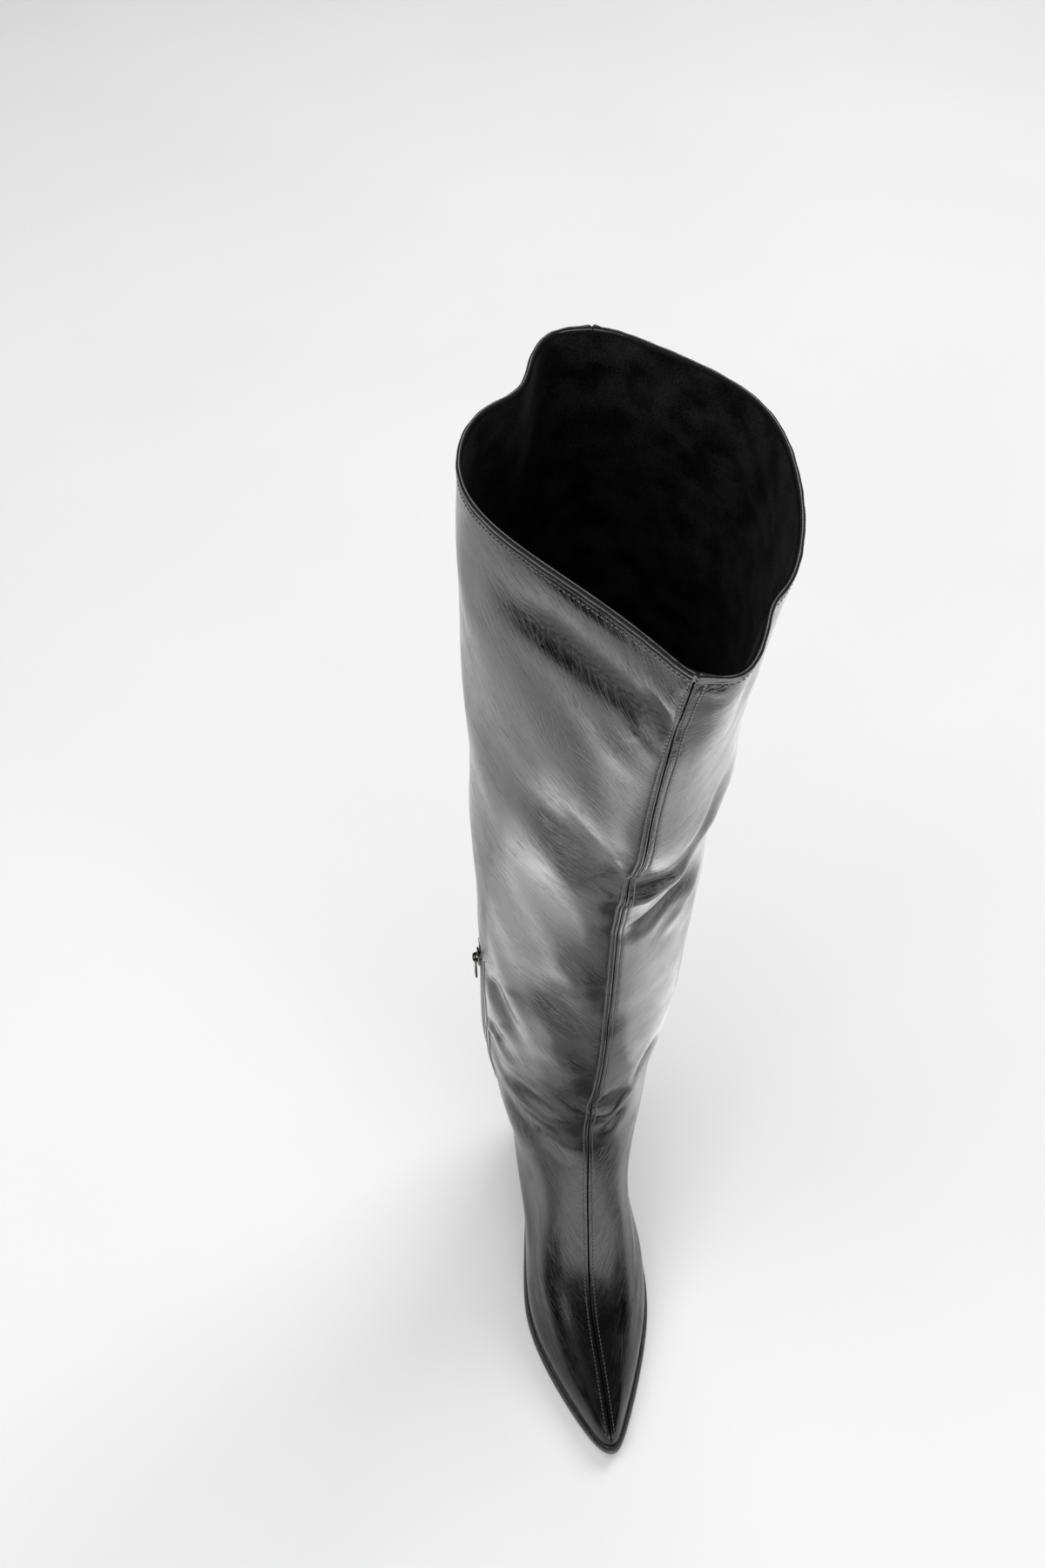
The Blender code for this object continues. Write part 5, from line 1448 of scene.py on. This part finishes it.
@dataclass(frozen=True)
class PlainFinish:
    """A plain hard or fibrous finish: one noise in colour, roughness and surface.

    The making is named for each use: burnished sole edge, moulded lift, waxed thread,
    waxed binding, coil plastic, plated metal, the studio's floor, or the black of the sheets that
    paint dark reflections.
    """

    name: str
    deep: str
    light: str
    roughness: tuple[float, float]
    scale_mm: float
    depth_mm: float
    metallic: float = 0.0
    coat: float = 0.0

    def build(self) -> Material:
        """One noise feeds colour, roughness and bump."""
        nodes = Nodes(self.name)
        place = nodes.add("TexCoord", out="Object")
        grain = nodes.add("TexNoise", {
            "Vector": place, "Scale": 1.0 / (self.scale_mm * MM), "Detail": 3.0})
        return nodes.dress({
            "Base Color": nodes.colour(grain, 0.3, 0.7, self.deep, self.light),
            "Roughness": nodes.add("MapRange", (grain, 0.3, 0.7, *self.roughness), **SOFT),
            "Normal": nodes.add("Bump", {
                "Height": grain, "Distance": self.depth_mm * MM, "Strength": 1.0}),
            "Metallic": self.metallic, "Coat Weight": self.coat, "Coat Roughness": 0.12})


@dataclass(frozen=True)
class WovenFinish:
    """Woven zip tape: a plain weave of 0.45 mm polyester yarns."""

    name: str = "black_woven_tape"
    yarn_mm: float = 0.45
    low: str = "0A0A0B"
    high: str = "202022"

    def build(self) -> Material:
        """Two crossed waves in the tape's own plan make the yarns: sin(pi x / d) sin(pi y / d)."""
        nodes = Nodes(self.name)
        plan = nodes.add("UVMap", uv_map="leather_plan")
        waves = []
        for axis in ("X", "Y"):
            along = nodes.add("SeparateXYZ", (plan,), axis)
            scaled = nodes.add("Math", (along, math.pi / (self.yarn_mm * MM)), operation="MULTIPLY")
            waves.append(nodes.add("Math", (scaled,), operation="SINE"))
        weave = nodes.add("Math", tuple(waves), operation="MULTIPLY")
        return nodes.dress({
            "Base Color": nodes.colour(weave, -0.6, 0.8, self.low, self.high),
            "Normal": nodes.add("Bump", {"Height": weave, "Distance": 0.0001, "Strength": 1.0}),
            "Roughness": 0.8})


# Studio ----------------------------------------------------------------------------------------
@dataclass(frozen=True)
class SoftBox:
    """A rectangular studio light: where it hangs, where it points, its size and power."""

    name: str
    place: tuple[float, float, float]
    aim: tuple[float, float, float]
    size: tuple[float, float]
    watts: float
    in_gloss: bool = True

    def build(self) -> None:
        """Hang the light."""
        lamp = bpy.data.lights.new(self.name, "AREA")
        lamp.shape, lamp.size, lamp.size_y, lamp.energy = "RECTANGLE", *self.size, self.watts
        piece = bpy.data.objects.new(self.name, lamp)
        piece.location = self.place
        way = unit(np.array(self.aim) - np.array(self.place))
        piece.rotation_euler = (math.acos(-way[2]), 0.0, math.atan2(-way[0], way[1]))
        piece.visible_glossy = self.in_gloss
        piece.visible_camera = False
        bpy.context.scene.collection.objects.link(piece)


@dataclass
class Studio:
    """A pale floor, soft lights and the camera over the toe."""

    camera_place: tuple[float, float, float] = (-0.1056, -0.5513, 1.03)
    # the way the camera faces over the floor (x, y), its tilt (degrees) and its lens (mm)
    heading: tuple[float, float] = (0.1495, 0.9888)
    pitch_down: float = 50.0
    lens: float = 39.0
    floor_half: float = 6.0
    boxes: tuple[SoftBox, ...] = (
        SoftBox("key_box", (1.5, 1.3, 2.6), (0.0, -0.1, 0.1), (1.6, 1.6), 43.0, False),
        SoftBox("fill_box", (-1.0, -0.6, 2.9), (-0.15, -0.2, 0.1), (3.2, 3.2), 58.0, False),
        SoftBox("front_wall", (0.1, -2.4, 0.75), (0.0, 0.0, 0.75), (4.6, 1.5), 58.0),
        SoftBox("front_sweep", (0.1, -1.15, 0.01), (0.1, -1.15, 1.0), (2.6, 1.4), 27.0),
        SoftBox("side_window", (-1.33, -1.06, 1.24), (0.0, -0.15, 0.04), (0.35, 0.5), 1.9),
        SoftBox("rim_light", (0.25, 1.8, 2.4), (-0.03, -0.1, 0.60), (0.9, 0.9), 11.0),
        SoftBox("left_glow", (-0.54, 0.02, 0.001), (-0.54, 0.02, 1.0), (0.58, 0.62), 0.31),
        SoftBox("near_left_glow", (-0.18, -0.04, 0.001), (-0.18, -0.04, 1.0), (0.14, 0.26), 0.15),
        SoftBox("right_glow", (0.50, 0.20, 0.001), (0.50, 0.20, 1.0), (0.70, 0.66), 0.60),
        SoftBox("near_right_glow", (0.175, -0.05, 0.001), (0.175, -0.05, 1.0), (0.13, 0.24), 0.12),
    )
    # painted reflection: dark sheets that only the gloss sees, standing in for the unbuilt other
    # boot and the shade round the toe: name, middle (x, y, z) and size (x, y, z)
    gloss_only_dark_sheets: tuple = (
        ("painted_shade_left_of_toe", (-0.40, -0.235, 0.087), (0.0, 0.16, 0.17)),
        ("painted_shade_right_of_toe", (0.40, -0.235, 0.087), (0.0, 0.16, 0.17)),
        ("painted_shade_far_left", (-0.72, -0.20, 0.150), (0.0, 0.54, 0.29)),
        ("painted_shade_before_toe", (0.055, -0.380, 0.002), (0.29, 0.26, 0.0)),
    )
    world_grey: float = 0.09

    def floor(self, material: Material) -> Piece:
        """The floor: a square sheet with a finer middle."""
        line = raised(np.linspace(-1.0, 1.0, 21), 2.0) * self.floor_half
        x, y = np.meshgrid(line, line)
        points = np.stack([x, y, np.full_like(x, -0.0002)], axis=-1).reshape(-1, 3)
        return add_mesh("studio_floor", points, [grid_quads(21, 21)], material)

    def dark_reflection_sheet(self, name: str, middle: tuple, size: tuple, material: Material) -> Piece:
        """A flat black sheet that only the gloss sees: painted reflected shade, so the black
        leather has a dark edge to mirror.

        Args:
            name: the sheet's name.
            middle: place of its middle.
            size: its size along x, y and z; it stands across x, or lies level, where one is 0.
            material: its finish.

        Returns:
            The sheet.
        """
        u, v = np.meshgrid(np.linspace(-0.5, 0.5, 3), np.linspace(-0.5, 0.5, 3))
        points = np.stack([u, v if size[0] else u, v], axis=-1) * np.array(size) + np.array(middle)
        piece = add_mesh(name, points.reshape(-1, 3), [grid_quads(3, 3)], material)
        piece.visible_camera = piece.visible_diffuse = False
        piece.visible_shadow = piece.visible_transmission = False
        return piece

    def build(self) -> None:
        """World, lights, floor and camera."""
        scene = bpy.context.scene
        world = bpy.data.worlds.new("studio_air")
        world.use_nodes = True
        back = world.node_tree.nodes["Background"]
        back.inputs["Color"].default_value = (*[self.world_grey] * 3, 1.0)
        scene.world = world
        scene.view_settings.view_transform = "Standard"
        for box in self.boxes:
            box.build()
        finish = PlainFinish("matt_white_floor", "F0F0F0", "F3F3F3", (0.85, 0.9), 400.0, 0.0)
        self.floor(finish.build())
        # painted reflection: black sheets hidden from camera, light and shadow, so the leather
        # mirrors painted shade
        black = PlainFinish("painted_reflection_black", "050505", "080808", (0.95, 1.0), 2.0, 0.1).build()
        [self.dark_reflection_sheet(name, middle, size, black) for name, middle, size in self.gloss_only_dark_sheets]
        lens = bpy.data.cameras.new("studio_camera")
        lens.sensor_fit, lens.sensor_height, lens.lens = "VERTICAL", 36.0, self.lens
        camera = bpy.data.objects.new("studio_camera", lens)
        camera.location = self.camera_place
        turn = -math.atan2(self.heading[0], self.heading[1])
        camera.rotation_euler = (math.radians(90.0 - self.pitch_down), 0.0, turn)
        scene.collection.objects.link(camera)
        scene.camera = camera


def settle(piece: Piece, body: str, slot: str, *parts: Part) -> None:
    """Tie a piece to its body and hide the nodes it stands in for."""
    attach(piece, body)
    if parts:
        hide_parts(*[part.value for part in parts])
    LOG.info("%s: %d faces on %s", piece.name, len(piece.data.polygons), body)


def main() -> None:
    """Build every sub-assembly in order and report each piece."""
    logging.basicConfig(level=logging.INFO, format="%(name)s %(message)s")
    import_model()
    form = BootForm()
    leather = Leather(form)
    calf = LeatherFinish().build()
    suede = SuedeFinish().build()
    thread = PlainFinish("black_waxed_thread", "18181A", "5C5C60", (0.22, 0.40), 0.3, 0.03).build()
    edge = PlainFinish("burnished_sole_edge", "343435", "545456", (0.34, 0.50), 1.2, 0.02,
                       coat=0.2).build()
    cover = LeatherFinish(name="heel_cover_calf", roughness=(0.22, 0.32)).build()
    rubber = PlainFinish("moulded_lift_rubber", "101010", "1A1A1A", (0.6, 0.8), 0.4, 0.03).build()
    metal = PlainFinish("gunmetal_plating", "3A3937", "55534F", (0.18, 0.32), 0.6, 0.004,
                        metallic=1.0).build()
    nylon = PlainFinish("black_coil_nylon", "0D0D0E", "1B1B1D", (0.32, 0.45), 0.5, 0.01).build()
    for side in Side:
        settle(ShaftPanels(leather).build(side, calf), "boot", "black_leather", Part.UPPER)
    for piece in Stitching(leather).build(thread):
        settle(piece, "boot", "thread")
    binding = PlainFinish("waxed_edge_binding", "161617", "1F1F21", (0.20, 0.34), 0.8, 0.03,
                          coat=0.3).build()
    settle(Collar(leather).build(binding), "boot", "black_leather")
    settle(Lining(leather).build(suede), "boot", "lining")
    sole = Sole(form)
    settle(sole.outsole(edge), "boot", "sole_leather", Part.OUTSOLE)
    settle(sole.sock(suede), "boot", "sock_lining", Part.INSOLE)
    heel = Heel(form)
    settle(heel.block(cover), "boot", "heel_cover", Part.HEEL)
    settle(heel.top_lift(rubber), "boot", "lift_rubber", Part.LIFT)
    zip_parts = Zip(leather)
    settle(zip_parts.tape(WovenFinish().build()), "boot", "zip_fabric", Part.TAPE)
    settle(zip_parts.coil(nylon), "boot", "zip_coil", Part.TEETH)
    settle(zip_parts.slider(metal), "boot", "dark_metal", Part.SLIDER)
    settle(zip_parts.pull(metal), "pull_tab", "dark_metal", Part.PULL)
    Studio().build()


if __name__ == "__main__":
    main()
